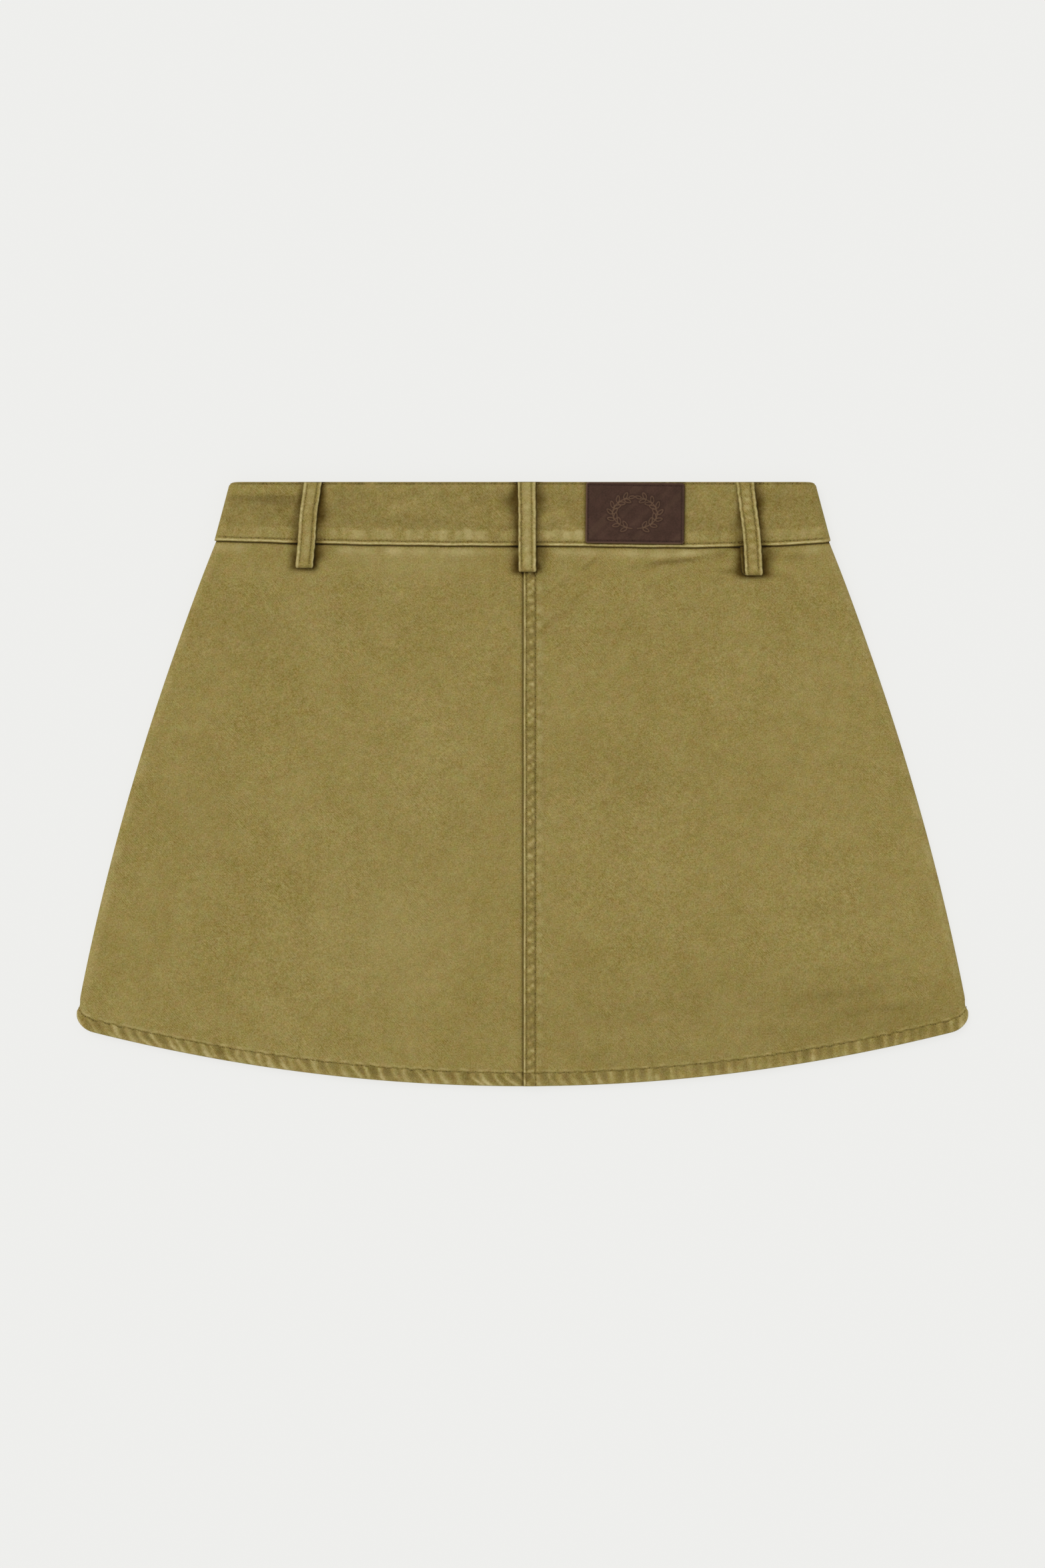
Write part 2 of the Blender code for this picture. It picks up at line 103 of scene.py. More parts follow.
# Creases that the cloth kept when it was laid out: x and depth of both ends, depth of the trough, half
# width and how dark the trough is painted as shade; a painted highlight lies just above each, towards the
# waist. They run from the seams, and most are hardly more than a shade.
CREASES = (
    (0.0765, 0.0517, 0.1160, 0.0481, 0.00050, 0.0018, 0.50),
    (0.1080, 0.0492, 0.1330, 0.0436, 0.00020, 0.0020, 0.22),
    (0.0640, 0.0538, 0.0880, 0.0518, 0.00015, 0.0024, 0.13),
    (0.0364, 0.0565, 0.0485, 0.0460, 0.00030, 0.0014, 0.30),
    (0.1210, 0.0566, 0.1370, 0.0560, 0.00020, 0.0019, 0.24),
    (0.1640, 0.0454, 0.1780, 0.0484, 0.00015, 0.0020, 0.18),
    (0.1560, 0.0586, 0.1730, 0.0600, 0.00015, 0.0022, 0.15),
    (0.0150, 0.0950, 0.0430, 0.0620, 0.00018, 0.0018, 0.13),
    (0.0100, 0.0730, 0.0330, 0.0590, 0.00018, 0.0016, 0.13),
    (0.0085, 0.0958, 0.0245, 0.0814, 0.00022, 0.0014, 0.20),
    (0.0080, 0.1330, 0.0220, 0.1240, 0.00015, 0.0014, 0.10),
    (0.0080, 0.2010, 0.0240, 0.1930, 0.00016, 0.0018, 0.15),
    (-0.0440, 0.2340, -0.0060, 0.2010, 0.00015, 0.0030, 0.07),
    (-0.0500, 0.2000, -0.0100, 0.1700, 0.00012, 0.0030, 0.05),
    (0.1640, 0.3262, 0.2300, 0.3186, 0.00022, 0.0028, 0.11),
    (0.1900, 0.3372, 0.2600, 0.3262, 0.00022, 0.0026, 0.12),
    (0.2050, 0.3080, 0.2560, 0.2990, 0.00018, 0.0030, 0.06),
    (0.1250, 0.3480, 0.1850, 0.3420, 0.00015, 0.0030, 0.08),
)
# Broad zones painted a little darker or lighter. The five small dark ones just below the waist seam, beside
# the belt loops, are painted shadow.
TONE_AND_SHADE_ZONES = (
    (0.070, 0.187, 0.040, 0.024, -0.075),
    (0.200, 0.326, 0.066, 0.022, -0.125),
    (0.085, 0.330, 0.080, 0.026, -0.085),
    (-0.085, 0.285, 0.048, 0.048, 0.080),
    (0.174, 0.126, 0.022, 0.024, 0.040),
    (-0.165, 0.093, 0.034, 0.024, -0.065),
    (0.205, 0.272, 0.034, 0.032, 0.035),
    (-0.062, 0.188, 0.042, 0.034, 0.035),
    (-0.064, 0.050, 0.056, 0.010, 0.070),
    (-0.200, 0.215, 0.026, 0.040, -0.045),
    (0.040, 0.345, 0.060, 0.014, -0.045),
    (-0.0150, 0.0445, 0.0075, 0.0060, -0.190),
    (-0.1560, 0.0420, 0.0110, 0.0060, -0.120),
    (-0.1200, 0.0410, 0.0075, 0.0060, -0.120),
    (0.1280, 0.0450, 0.0060, 0.0050, -0.100),
    (0.1640, 0.0430, 0.0120, 0.0065, -0.130),
)
# Belt loops of the back, here because the panels carry their painted shadow: middle at the top edge and at
# the lower end, that end's depth, how far the under leaf slipped, how far the loop bows aside and where, its
# rows of stitches, and the painted shadow that it casts on each side: half width in mm and strength at six
# depths.
LOOP_WIDTH = 0.0111
SHADE_DEPTHS = (0.0038, 0.0113, 0.0218, 0.0322, 0.0439, 0.0511)
BACK_LOOPS = (
    {"place": "left", "top_x": -0.1316, "end_x": -0.1372, "end": 0.0542, "slip": 0.0,
     "bow": (-0.0007, 0.021, 0.012), "rows": (-0.0031, 0.0030), "shade": {
         -1: ((2.2, 2.1, 4.4, 3.4, 4.6, 3.4), (0.46, 0.66, 0.42, 0.74, 0.94, 0.92)),
         1: ((2.4, 3.4, 5.6, 4.0, 5.8, 3.2), (0.92, 0.92, 0.90, 0.62, 1.06, 1.06))}},
    {"place": "centre", "top_x": 0.0026, "end_x": 0.0031, "end": 0.0567, "slip": 0.0,
     "bow": (0.0002, 0.020, 0.010), "rows": (-0.0036, 0.0029), "shade": {
         -1: ((3.2, 7.2, 3.6, 3.2, 4.2, 3.8), (0.92, 0.86, 0.82, 0.86, 0.94, 1.08)),
         1: ((3.8, 6.0, 3.0, 3.4, 6.8, 4.4), (0.70, 0.72, 0.66, 0.48, 0.84, 0.92))}},
    {"place": "right", "top_x": 0.1397, "end_x": 0.1452, "end": 0.0588, "slip": -0.0021,
     "bow": (0.0010, 0.034, 0.019), "rows": (-0.0034, 0.0030), "shade": {
         -1: ((0.8, 0.9, 2.4, 5.4, 5.0, 5.0), (0.12, 0.36, 0.72, 0.54, 1.22, 1.24)),
         1: ((3.4, 5.2, 2.4, 3.6, 6.2, 5.0), (0.62, 0.82, 0.80, 0.58, 0.92, 1.04))}},
)


def smooth(t, long=1.0):
    """0 up to the start, 1 from this long past it, and an even S between."""
    t = np.clip(t / long, 0.0, 1.0)
    return t * t * (3 - 2 * t)


def mix(a, b, t):
    return a + (b - a) * t


def hump(off, wide=1.0):
    """1 in the middle, and nothing beyond two half widths either way."""
    return np.exp(-((off / wide) ** 2))


def spots(x, depth, table):
    """The sum of a table's soft spots."""
    return sum(strong * hump(x - across, wide) * hump(depth - down, long)
               for across, down, wide, long, strong in table)


def drift(t, pitch, seed):
    """A smooth uneven run, mostly between -1 and 1, whose waves are about a pitch long."""
    rng = np.random.default_rng(seed)
    waves = [(rng.uniform(0.55, 1.8), rng.uniform(0, 2 * math.pi)) for _ in range(5)]
    return sum(np.sin(2 * math.pi * t * rate / pitch + phase) for rate, phase in waves) / 2.2


def spaced(*runs):
    """Values along runs that follow each other: each has its start, its end and about the step between."""
    parts = [np.linspace(a, b, max(2, round(abs(b - a) / step) + 1))[:-1] for a, b, step in runs]
    return np.append(np.concatenate(parts), runs[-1][1])


def panel_half(depth):
    """Half width of the panels, measured at the side."""
    below = depth - BAND_SIDE
    flared = PANEL_TOP_HALF + SIDE_FLARE * below - SIDE_CURVE * below**2
    return np.where(below < 0, mix(WAIST_HALF, SEAM_HALF, depth / BAND_SIDE) - STEP, flared)


def seam_depth(x):
    """Depth of the waistband's lower edge, as it was cut."""
    return BAND_CENTRE - (BAND_CENTRE - BAND_SIDE) * np.minimum(abs(x) / SEAM_HALF, 1.0) ** 2


def edge_depth(x):
    """Depth of the waistband's lower edge as it lies: it sags a little on the right."""
    sag = 0.0020 * smooth(x - 0.010, 0.110) - 0.0008 * smooth(x - 0.155, 0.040)
    return seam_depth(x) + sag + 0.0003 + 0.0001 * drift(x, 0.040, 2)


def front_face(x, depth):
    """Height of the front panels' outer face, which lies against the table."""
    below = depth - seam_depth(x)
    return (BAND_PROP + STEP) * (1 - smooth(below - SETTLE_START, SETTLE_LENGTH))


def centre_lap(x):
    """How far the right back panel stands up where it laps over the left one."""
    return BACK_LAP * (1 - smooth(x - LAP_END, LAP_RAMP))


def band_lap(x):
    """How far the waistband stands up over the lapped centre seam."""
    return np.where(x < LAP_EDGE, BACK_LAP * (1 - smooth(LAP_EDGE - x, LAP_RAMP)), centre_lap(x))


def panel_row(below):
    """A panel's row at a distance below the waist seam: its depths, half width and side fold."""
    side = BAND_SIDE + np.where(below < 0, below, (LENGTH - HEM_SAG - BAND_SIDE) * below / SPAN)
    lift = HEM_CORNER_RISE * np.clip(1 - (SPAN - below) / HEM_CORNER_START, 0, None)
    half = panel_half(side - lift)
    half -= 0.0007 * hump(below - SPAN + HEM_DEPTH + 0.0020, 0.0055)
    half += 0.0005 * hump(below - SPAN + 0.0042, 0.0036)
    fold = mix(BAND_FOLD - STEP, PANEL_FOLD, smooth(side - BAND_SIDE, FOLD_EASE))
    return {"centre": BAND_CENTRE + below, "side": side, "lift": lift, "half": half, "fold": fold}


def row_depth(row, out):
    """Depth along a row at a distance from the middle: a shallow bow, drawn up at the hem's corners."""
    edge = np.clip((out - row["half"] + HEM_CORNER_WIDTH) / HEM_CORNER_WIDTH, 0.0, 1.0)
    bow = (row["centre"] - row["side"]) * (out / row["half"]) ** 2
    return row["centre"] - bow - row["lift"] * (1 - np.sqrt(1 - edge**2))


def loop_middle(loop, depth):
    """Where a belt loop's middle lies across, at a depth."""
    bow, bow_depth, bow_long = loop["bow"]
    straight = mix(loop["top_x"], loop["end_x"], depth / loop["end"])
    return straight + bow * hump(depth - bow_depth, bow_long)


def loop_painted_shadow(x, depth):
    """The painted shadow beside and below the belt loops, from 0 to about 1.2."""
    dark = np.zeros(np.broadcast(x, depth).shape)
    for loop in BACK_LOOPS:
        held = np.minimum(depth, loop["end"])
        past = np.clip(depth - loop["end"] + 0.0012, 0, None)
        for side, (widths, strengths) in loop["shade"].items():
            wide = np.interp(held, SHADE_DEPTHS, widths) / 1000
            wide *= 1 + 0.08 * drift(depth, 0.019, 70 + side)
            out = side * (x - loop_middle(loop, held))
            away = np.hypot(np.clip(out - LOOP_WIDTH / 2, 0, None) / wide, past / 0.0025)
            here = np.interp(held, SHADE_DEPTHS, strengths) * np.exp(-0.69 * away**2.4)
            dark = np.maximum(dark, np.where(out > 0, here, 0.0))
    return dark


# The hem's ropes: light ridges at uneven places that start upright under the stitching and sweep to the
# right towards the edge, strongly on the left half and hardly on the right. Each has its place, strength,
# half width, lean and how far it fades along its run.
rope_rng = np.random.default_rng(12)
ROPES = []
rope_x = -0.297
while rope_x < 0.297:
    leaning = 1 - smooth(rope_x - 0.005, 0.06)
    ROPES.append((
        rope_x,
        rope_rng.uniform(0.55, 1.0),
        rope_rng.uniform(0.0012, 0.0025),
        rope_rng.uniform(0.0030, 0.0066) * leaning + rope_rng.uniform(-0.0008, 0.0018),
        rope_rng.uniform(-0.5, 0.5),
    ))
    rope_x += rope_rng.uniform(0.0052, 0.0100)


def ropes(x, share):
    """Height of the hem's ropes, 0 to about 1, at a share of the way from the stitching to the edge."""
    share = np.clip(share, 0.0, 1.0)
    rise = np.zeros(np.broadcast(x, share).shape)
    for place, strong, wide, lean, fades in ROPES:
        off = x - place - lean * (share**1.7 + 0.09 * np.sin(5.5 * share + 900 * place))
        # A rope is steeper on its left, where the next fold tucks under it.
        off = np.where(off < 0, off * 1.35, off * 0.85)
        strong *= np.clip(1 + fades * (share - 0.5) * 2, 0, 1.2)
        rise = np.maximum(rise, strong * hump(off, wide))
    return rise


def hem_waver(x):
    """How far the hem's stitching strays below its straight run."""
    return 0.0004 + 0.00024 * drift(x, 0.012, 13)


# The centre seam's puckers, between its two rows of stitches, every 6 or 7 mm.
pucker_rng = np.random.default_rng(31)
PUCKERS = np.cumsum(pucker_rng.uniform(0.0052, 0.0079, 56)) + 0.030
PUCKER_STRONG = pucker_rng.uniform(0.55, 1.0, len(PUCKERS))
PUCKER_WIDE = pucker_rng.uniform(0.0009, 0.0017, len(PUCKERS))
PUCKER_LEAN = pucker_rng.uniform(0.25, 0.95, len(PUCKERS))
FIRST_ROW = 0.0024
SECOND_ROW = 0.0082


def puckers(x, depth):
    rise = np.zeros(np.broadcast(x, depth).shape)
    off = x - (FIRST_ROW + SECOND_ROW) / 2
    for place, strong, wide, lean in zip(PUCKERS, PUCKER_STRONG, PUCKER_WIDE, PUCKER_LEAN):
        rise = np.maximum(rise, strong * hump(depth - place + lean * off, wide))
    return rise * smooth(x - FIRST_ROW, 0.0014) * smooth(SECOND_ROW - x, 0.0014)


def near_crease(x, depth, ends, wide):
    """0 to 1: how close a point lies to a crease, which fades out at its ends."""
    x0, d0, x1, d1 = ends
    run = math.hypot(x1 - x0, d1 - d0)
    along = ((x - x0) * (x1 - x0) + (depth - d0) * (d1 - d0)) / run**2
    off = ((x - x0) * (d1 - d0) - (depth - d0) * (x1 - x0)) / run
    return hump(off, wide) * smooth(along, 0.3) * smooth(1 - along, 0.3)


def back_surface(x, depth, below, laps_over):
    """Height of the back's outer face and its wear."""
    rise = spots(x, depth, SWELLS)
    painted_light_and_wear = spots(x, depth, TONE_AND_SHADE_ZONES)
    # Each crease's trough is painted dark as shade, and the cloth just above it lighter as a painted
    # highlight.
    for *ends, deep, wide, dark in CREASES:
        near = near_crease(x, depth, ends, wide)
        crest = near_crease(x, depth + 2.2 * wide, ends, wide)
        rise -= deep * near
        painted_light_and_wear -= dark * (near - 0.35 * crest)
    share_out = abs(x) / panel_half(depth)
    rise *= 1 - smooth(share_out - 0.75, 0.17)
    # Near the side folds the cloth is painted lighter: partly rubbed dye, partly a painted highlight where
    # the fold turns down.
    rubbed_and_lit_side = 0.08 + 0.07 * drift(depth, 0.045, 4) + 0.05 * smooth(depth - 0.16, 0.10)
    painted_light_and_wear += rubbed_and_lit_side * smooth(share_out - 0.972, 0.018)

    # Below the waist seam: a crevice painted dark as shade, then cloth that the seam holds up to be rubbed.
    under_seam = depth - edge_depth(x)
    inside = np.clip(under_seam, 0, None)
    rise -= 0.00025 * hump(under_seam, 0.0012)
    painted_light_and_wear -= 1.02 * hump(inside, 0.00064)
    lifted = np.clip(mix(0.22, 0.13, smooth(abs(x) - 0.100, 0.020)) + 0.12 * drift(x, 0.024, 3), 0, None)
    painted_light_and_wear += lifted * hump(under_seam - 0.0036, 0.0026)
    # The belt loops' painted shadow on the panels below the seam.
    painted_light_and_wear -= 1.04 * loop_painted_shadow(x, depth) * smooth(under_seam + 0.0005, 0.0005)

    # The hem: its stitched groove, painted dark as shade, the lighter line above, the ropes and the rounded
    # edge.
    under_row = below - (SPAN - HEM_DEPTH)
    share = under_row / HEM_DEPTH
    held = smooth(share, 0.14) * (1 - smooth(share - 0.92, 0.08))
    rope = ropes(x, share)
    to_right = smooth(x - 0.010, 0.050)
    contrast = mix(0.90, 0.58, to_right) * (1 + 0.20 * drift(x, 0.050, 8))
    rise += held * 0.00045 * (rope - 0.30)
    painted_light_and_wear += held * contrast * (0.96 * rope - mix(0.42, 0.22, smooth(share - 0.45, 0.3)))
    # Low in the hem, near the side folds, a painted highlight as well.
    painted_light_and_wear += 0.14 * smooth(share_out - 0.962, 0.025) * smooth(share + 0.1, 0.2)
    painted_light_and_wear += (0.07 + 0.10 * drift(x, 0.020, 11)) * hump(share - 0.93, 0.08)
    painted_light_and_wear -= 0.085 * to_right * smooth(under_row + 0.018, 0.012)
    waver = under_row - hem_waver(x)
    rise -= 0.00030 * hump(waver, 0.0006)
    painted_light_and_wear -= (0.23 + 0.26 * drift(x, 0.0046, 9)) * hump(waver, 0.00050)
    painted_light_and_wear += (0.19 + 0.15 * drift(x, 0.015, 10)) * hump(waver + 0.0013, 0.0007)
    edge = np.clip((below - SPAN + 0.0010) / 0.0010, 0, 1)
    rise -= 0.0008 * (1 - np.sqrt(1 - edge**2))
    above_hem = 1 - smooth(under_row + 0.0004, 0.0008)

    # The centre seam: the folded edge stands up and is rubbed, with a groove at each row of stitches. The
    # grooves and the lap's rolled edge are painted dark as shade.
    if laps_over:
        pucker = puckers(x, depth)
        between = smooth(x - FIRST_ROW, 0.0008) * smooth(SECOND_ROW - x, 0.0008)
        rolled = np.clip((LAP_EDGE + 0.0009 - x) / 0.0009, 0, 1)
        rise -= 0.0007 * (1 - np.sqrt(1 - rolled**2))
        rise += 0.00015 * hump(x - 0.0014, 0.0006)
        rise -= 0.00028 * hump(x - FIRST_ROW, 0.0006)
        rise -= 0.00032 * hump(x - SECOND_ROW, 0.0007)
        rise += 0.00040 * (pucker - 0.3 * between) * mix(0.5, 1.0, above_hem)
        ridge = 0.82 + 0.26 * drift(depth, 0.018, 21)
        stray = 0.00012 * drift(depth, 0.110, 26)
        painted_light_and_wear += ridge * hump(x - 0.00140 - stray, 0.00035 + 0.00007 * drift(depth, 0.012, 25))
        painted_light_and_wear -= 0.70 * hump(x - 0.0004, 0.00045)
        painted_light_and_wear -= (0.36 + 0.18 * drift(depth, 0.006, 22)) * hump(x - FIRST_ROW, 0.00050)
        painted_light_and_wear -= (0.34 + 0.24 * drift(depth, 0.006, 23)) * hump(x - SECOND_ROW, 0.00050)
        painted_light_and_wear -= 0.12 * hump(x - SECOND_ROW, 0.0013)
        pad = pucker * mix(0.85, 1.15, (x - FIRST_ROW) / (SECOND_ROW - FIRST_ROW))
        painted_light_and_wear += (0.98 * pad - 0.36 * between) * mix(0.4, 1.0, above_hem)
        patches = np.clip(0.3 + drift(depth, 0.013, 24), 0, 1)
        painted_light_and_wear += 0.26 * patches * hump(x - 0.0106, 0.0020)
    else:
        # Beside the right panel's folded edge, the left one is painted dark as its shadow.
        painted_light_and_wear -= 0.85 * hump(x - LAP_EDGE, 0.0008)
        painted_light_and_wear -= 0.10 * hump(x + 0.0008, 0.0012)
    return rise, np.clip(painted_light_and_wear, -1.4, 1)


def on_cloth(x, depth, z):
    """Points at a depth below the top edge and a height above the table."""
    x, depth, z = np.broadcast_arrays(x, depth, z)
    return np.stack([x, LENGTH / 2 - depth, z], axis=-1)


def grid_mesh(name, points, painted_light_and_wear, turned=False, ring=False):
    """A mesh from rows of points, with the wear of each. A ring's rows close on themselves, as a tube."""
    rows, columns = points.shape[:2]
    index = np.arange(rows * columns).reshape(rows, columns)
    if ring:
        index = np.hstack([index, index[:, :1]])
    corners = [index[:-1, :-1], index[1:, :-1], index[1:, 1:], index[:-1, 1:]]
    if turned:
        corners.reverse()
    faces = np.stack(corners, axis=-1).reshape(-1, 4)
    mesh = bpy.data.meshes.new(name)
    mesh.from_pydata(points.reshape(-1, 3).tolist(), [], faces.tolist())
    worn = mesh.attributes.new("painted_light_and_wear", "FLOAT", "POINT")
    worn.data.foreach_set("value", np.broadcast_to(painted_light_and_wear, (rows, columns)).astype(np.float32).ravel())
    mesh.shade_smooth()
    if ring:
        # The tube's ends are closed, and its faces turned outwards.
        tube = bmesh.new()
        tube.from_mesh(mesh)
        bmesh.ops.holes_fill(tube, edges=[edge for edge in tube.edges if edge.is_boundary])
        bmesh.ops.recalc_face_normals(tube, faces=tube.faces)
        tube.to_mesh(mesh)
        tube.free()
    return mesh


def in_scene(name, data):
    made = bpy.data.objects.new(name, data)
    bpy.context.scene.collection.objects.link(made)
    return made


def add_piece(name, mesh, material):
    """Put a finished mesh on the garment in place of its plain solid."""
    mesh.materials.append(material)
    piece = in_scene(name, mesh)
    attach(piece, "root")
    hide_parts(name)
    return piece


def add_wall(piece, thickness, thin=None, thick_points=()):
    """Give a piece its wall, inwards. Where thin is given, only the thick points get the full thickness."""
    wall = piece.modifiers.new("wall", "SOLIDIFY")
    wall.thickness = thickness
    wall.offset = -1
    if thin is not None:
        group = piece.vertex_groups.new(name="hem")
        group.add([int(i) for i in thick_points], 1.0, "REPLACE")
        wall.vertex_group = "hem"
        wall.thickness_vertex_group = thin / thickness


def linear(code):
    """A hex colour as the linear values that a shader takes."""
    values = [int(code[i : i + 2], 16) / 255 for i in (1, 3, 5)]
    return (*[v / 12.92 if v <= 0.04045 else ((v + 0.055) / 1.055) ** 2.4 for v in values], 1.0)


def add(tree, kind, settings=None, **inputs):
    """Add a node. An input goes by its identifier with _ for a space, and is a value or what feeds it.

    That is one output of another node, or the node itself for its first output that is in use.
    """
    made = tree.nodes.new(kind)
    for key, value in (settings or {}).items():
        setattr(made, key, value)
    sockets = {socket.identifier.replace(" ", "_"): socket for socket in made.inputs}
    for key, value in inputs.items():
        if isinstance(value, bpy.types.Node):
            value = next(socket for socket in value.outputs if socket.enabled)
        if isinstance(value, bpy.types.NodeSocket):
            tree.links.new(value, sockets[key])
        else:
            sockets[key].default_value = value
    return made


def empty_material(name):
    material = bpy.data.materials.new(name)
    material.use_nodes = True
    material.node_tree.nodes.clear()
    return material, material.node_tree


# Settings that many nodes share.
ADDED = {"operation": "ADD"}
TIMES = {"operation": "MULTIPLY"}
COLOURS = {"data_type": "RGBA"}
TURNED = {"vector_type": "TEXTURE"}


def worn_and_shaded_colour(tree, colour, steps):
    """Lay worn colours and painted shade over a material's own: each has its wear or shade, its start and
    end, and how much shows.
    """
    for painted_light_and_wear, start, end, most, code in steps:
        amount = add(tree, "ShaderNodeMapRange", Value=painted_light_and_wear, From_Min=start, From_Max=end, To_Max=most)
        colour = add(tree, "ShaderNodeMix", COLOURS, Factor_Float=amount, A_Color=colour,
                     B_Color=linear(code))
    return colour


def washed_twill(name, deep, pale):
    """Garment-dyed cotton twill: a fine diagonal rib that shows in patches, dry and matt.

    The washing leaves it finely mottled between a deep golden olive and a paler, greyer one, and pale on the
    crests where the dye has rubbed off. Painted shade darkens it in grooves, crevices and creases, and a
    darker painted shadow lies beside and under the belt loops.
    """
    material, tree = empty_material(name)
    place = add(tree, "ShaderNodeTexCoord").outputs["Object"]
    # Mottling: about how many metres across its patches are, its detail and its roughness.
    mottle = {}
    for patches, size, detail, roughness in (
        ("felted", 0.026, 2.0, 0.55),
        ("broad", 0.060, 2.0, 0.5),
        ("middling", 0.015, 2.0, 0.5),
        ("small", 0.0048, 2.0, 0.6),
        ("fine", 0.0009, 2.0, 0.85),
        ("tint", 0.0062, 5.0, 0.97),
        ("broken", 0.0022, 3.0, 0.75),
        ("nap", 0.0011, 3.0, 0.7),
        ("uneven", 0.0060, 2.0, 0.5),
    ):
        mottle[patches] = add(tree, "ShaderNodeTexNoise", Vector=place, Scale=1 / size, Detail=detail,
                              Roughness=roughness)
    # Short strokes of thread: their angle, about how long they are and how far across.
    strokes = []
    for degrees, long, across in ((-47, 0.0026, 0.0009), (40, 0.0024, 0.0010)):
        laid = add(tree, "ShaderNodeMapping", TURNED, Vector=place, Rotation=(0, 0, math.radians(degrees)),
                   Scale=(long, across, 0.001))
        strokes.append(add(tree, "ShaderNodeTexNoise", Vector=laid, Scale=1.0, Detail=2.0, Roughness=0.6))

    # Twill lines fall to the right at 47 degrees, 1.1 mm apart: two or three of the real ribs together,
    # because single ribs of 0.5 mm are too fine to show. They show most low on the left, where the
    # cloth was pressed flat, and are felted over elsewhere. A wave's scale is 0.314 over its spacing.
    turned = add(tree, "ShaderNodeMapping", TURNED, Vector=place, Rotation=(0, 0, math.radians(-47)))
    ribs = add(tree, "ShaderNodeTexWave", {"bands_direction": "Y"}, Vector=turned, Scale=0.314 / 0.00112,
               Distortion=2.8, Detail=2.0, Detail_Scale=0.8, Detail_Roughness=0.6).outputs["Fac"]
    away = add(tree, "ShaderNodeVectorMath", {"operation": "DISTANCE"}, Vector=place,
               Vector_001=(-0.150, -0.090, 0.005))
    pressed = add(tree, "ShaderNodeMapRange", Value=away, From_Min=0.02, From_Max=0.17, To_Min=0.30,
                  To_Max=0.0)
    felted = add(tree, "ShaderNodeMapRange", Value=mottle["felted"], From_Min=0.42, From_Max=0.64,
                 To_Min=0.05)
    shown = add(tree, "ShaderNodeMath", ADDED, Value=felted, Value_001=pressed)

    # What makes the dye's tone, how strongly, and whether only where the ribs show.
    tone = None
    for grain, strength, with_ribs in (
        (ribs, 0.10, True),
        (strokes[0], 0.42, True),
        (strokes[1], 0.24, False),
        (mottle["broad"], 0.13, False),
        (mottle["middling"], 0.14, False),
        (mottle["small"], 0.18, False),
        (mottle["fine"], 1.00, False),
    ):
        layer = add(tree, "ShaderNodeMapRange", Value=grain, To_Min=-strength, To_Max=strength)
        if with_ribs:
            layer = add(tree, "ShaderNodeMath", TIMES, Value=layer, Value_001=shown)
        tone = add(tree, "ShaderNodeMath", ADDED, Value=tone, Value_001=layer) if tone is not None else layer
    paleness = add(tree, "ShaderNodeMapRange", Value=tone, From_Min=-0.5, From_Max=0.5)
    dyed = add(tree, "ShaderNodeMix", COLOURS, Factor_Float=paleness, A_Color=linear(deep),
               B_Color=linear(pale))
    # The mottling also drifts a little between green and brown.
    tint = add(tree, "ShaderNodeVectorMath", {"operation": "MULTIPLY_ADD"},
               Vector=mottle["tint"].outputs["Color"], Vector_001=(0.52, 0.52, 1.00),
               Vector_002=(0.74, 0.74, 0.50))
    tinted = add(tree, "ShaderNodeVectorMath", TIMES, Vector=dyed, Vector_001=tint)

    # The wear and the painted shade break up in the weave, more where pale than where dark.
    worn = add(tree, "ShaderNodeAttribute", {"attribute_name": "painted_light_and_wear"}).outputs["Fac"]
    broken = []
    for uneven in (0.38, 0.14):
        part = add(tree, "ShaderNodeMapRange", Value=mottle["broken"], From_Min=0.3, From_Max=0.7,
                   To_Min=1 - uneven, To_Max=1 + uneven)
        broken.append(add(tree, "ShaderNodeMath", TIMES, Value=worn, Value_001=part))
    # Pale rubbed dye above 0; below 0 painted shade, and below -1 the darkest painted shade and shadow, in
    # crevices and by the belt loops.
    colour = worn_and_shaded_colour(tree, tinted, (
        (broken[0], 0.0, 1.0, 0.92, "#c8ba84"),
        (broken[1], 0.0, -1.0, 0.96, "#453200"),
        (broken[1], -1.0, -1.4, 0.90, "#1c1200"),
    ))

    ribbed = add(tree, "ShaderNodeMapRange", Value=ribs, To_Max=0.7)
    height = add(tree, "ShaderNodeMath", TIMES, Value=ribbed, Value_001=shown)
    for grain, high in (("nap", 1.6), ("uneven", 2.2)):
        raised = add(tree, "ShaderNodeMapRange", Value=mottle[grain], To_Max=high)
        height = add(tree, "ShaderNodeMath", ADDED, Value=height, Value_001=raised)
    bump = add(tree, "ShaderNodeBump", Strength=0.50, Distance=0.00016, Height=height)
    cloth = add(tree, "ShaderNodeBsdfPrincipled", Base_Color=colour, Normal=bump, Roughness=0.92,
                Specular_IOR_Level=0.18, Sheen_Weight=0.12, Sheen_Roughness=0.55,
                Sheen_Tint=linear("#d8cf9c"))
    add(tree, "ShaderNodeOutputMaterial", Surface=cloth)
    return material


twill = washed_twill("garment_washed_cotton_twill", "#786624", "#a8975e")

BACK_ROWS = spaced(
    (-SEAM_ALLOWANCE, 0.0, 0.0016),
    (0.0, 0.0048, 0.0006),
    (0.0048, 0.022, 0.0012),
    (0.022, SPAN - HEM_DEPTH - 0.004, 0.0024),
    (SPAN - HEM_DEPTH - 0.004, SPAN - 0.0012, 0.00055),
    (SPAN - 0.0012, SPAN, 0.0002),
)
FOLD_ANGLES = np.radians(np.linspace(90, -90, 19))


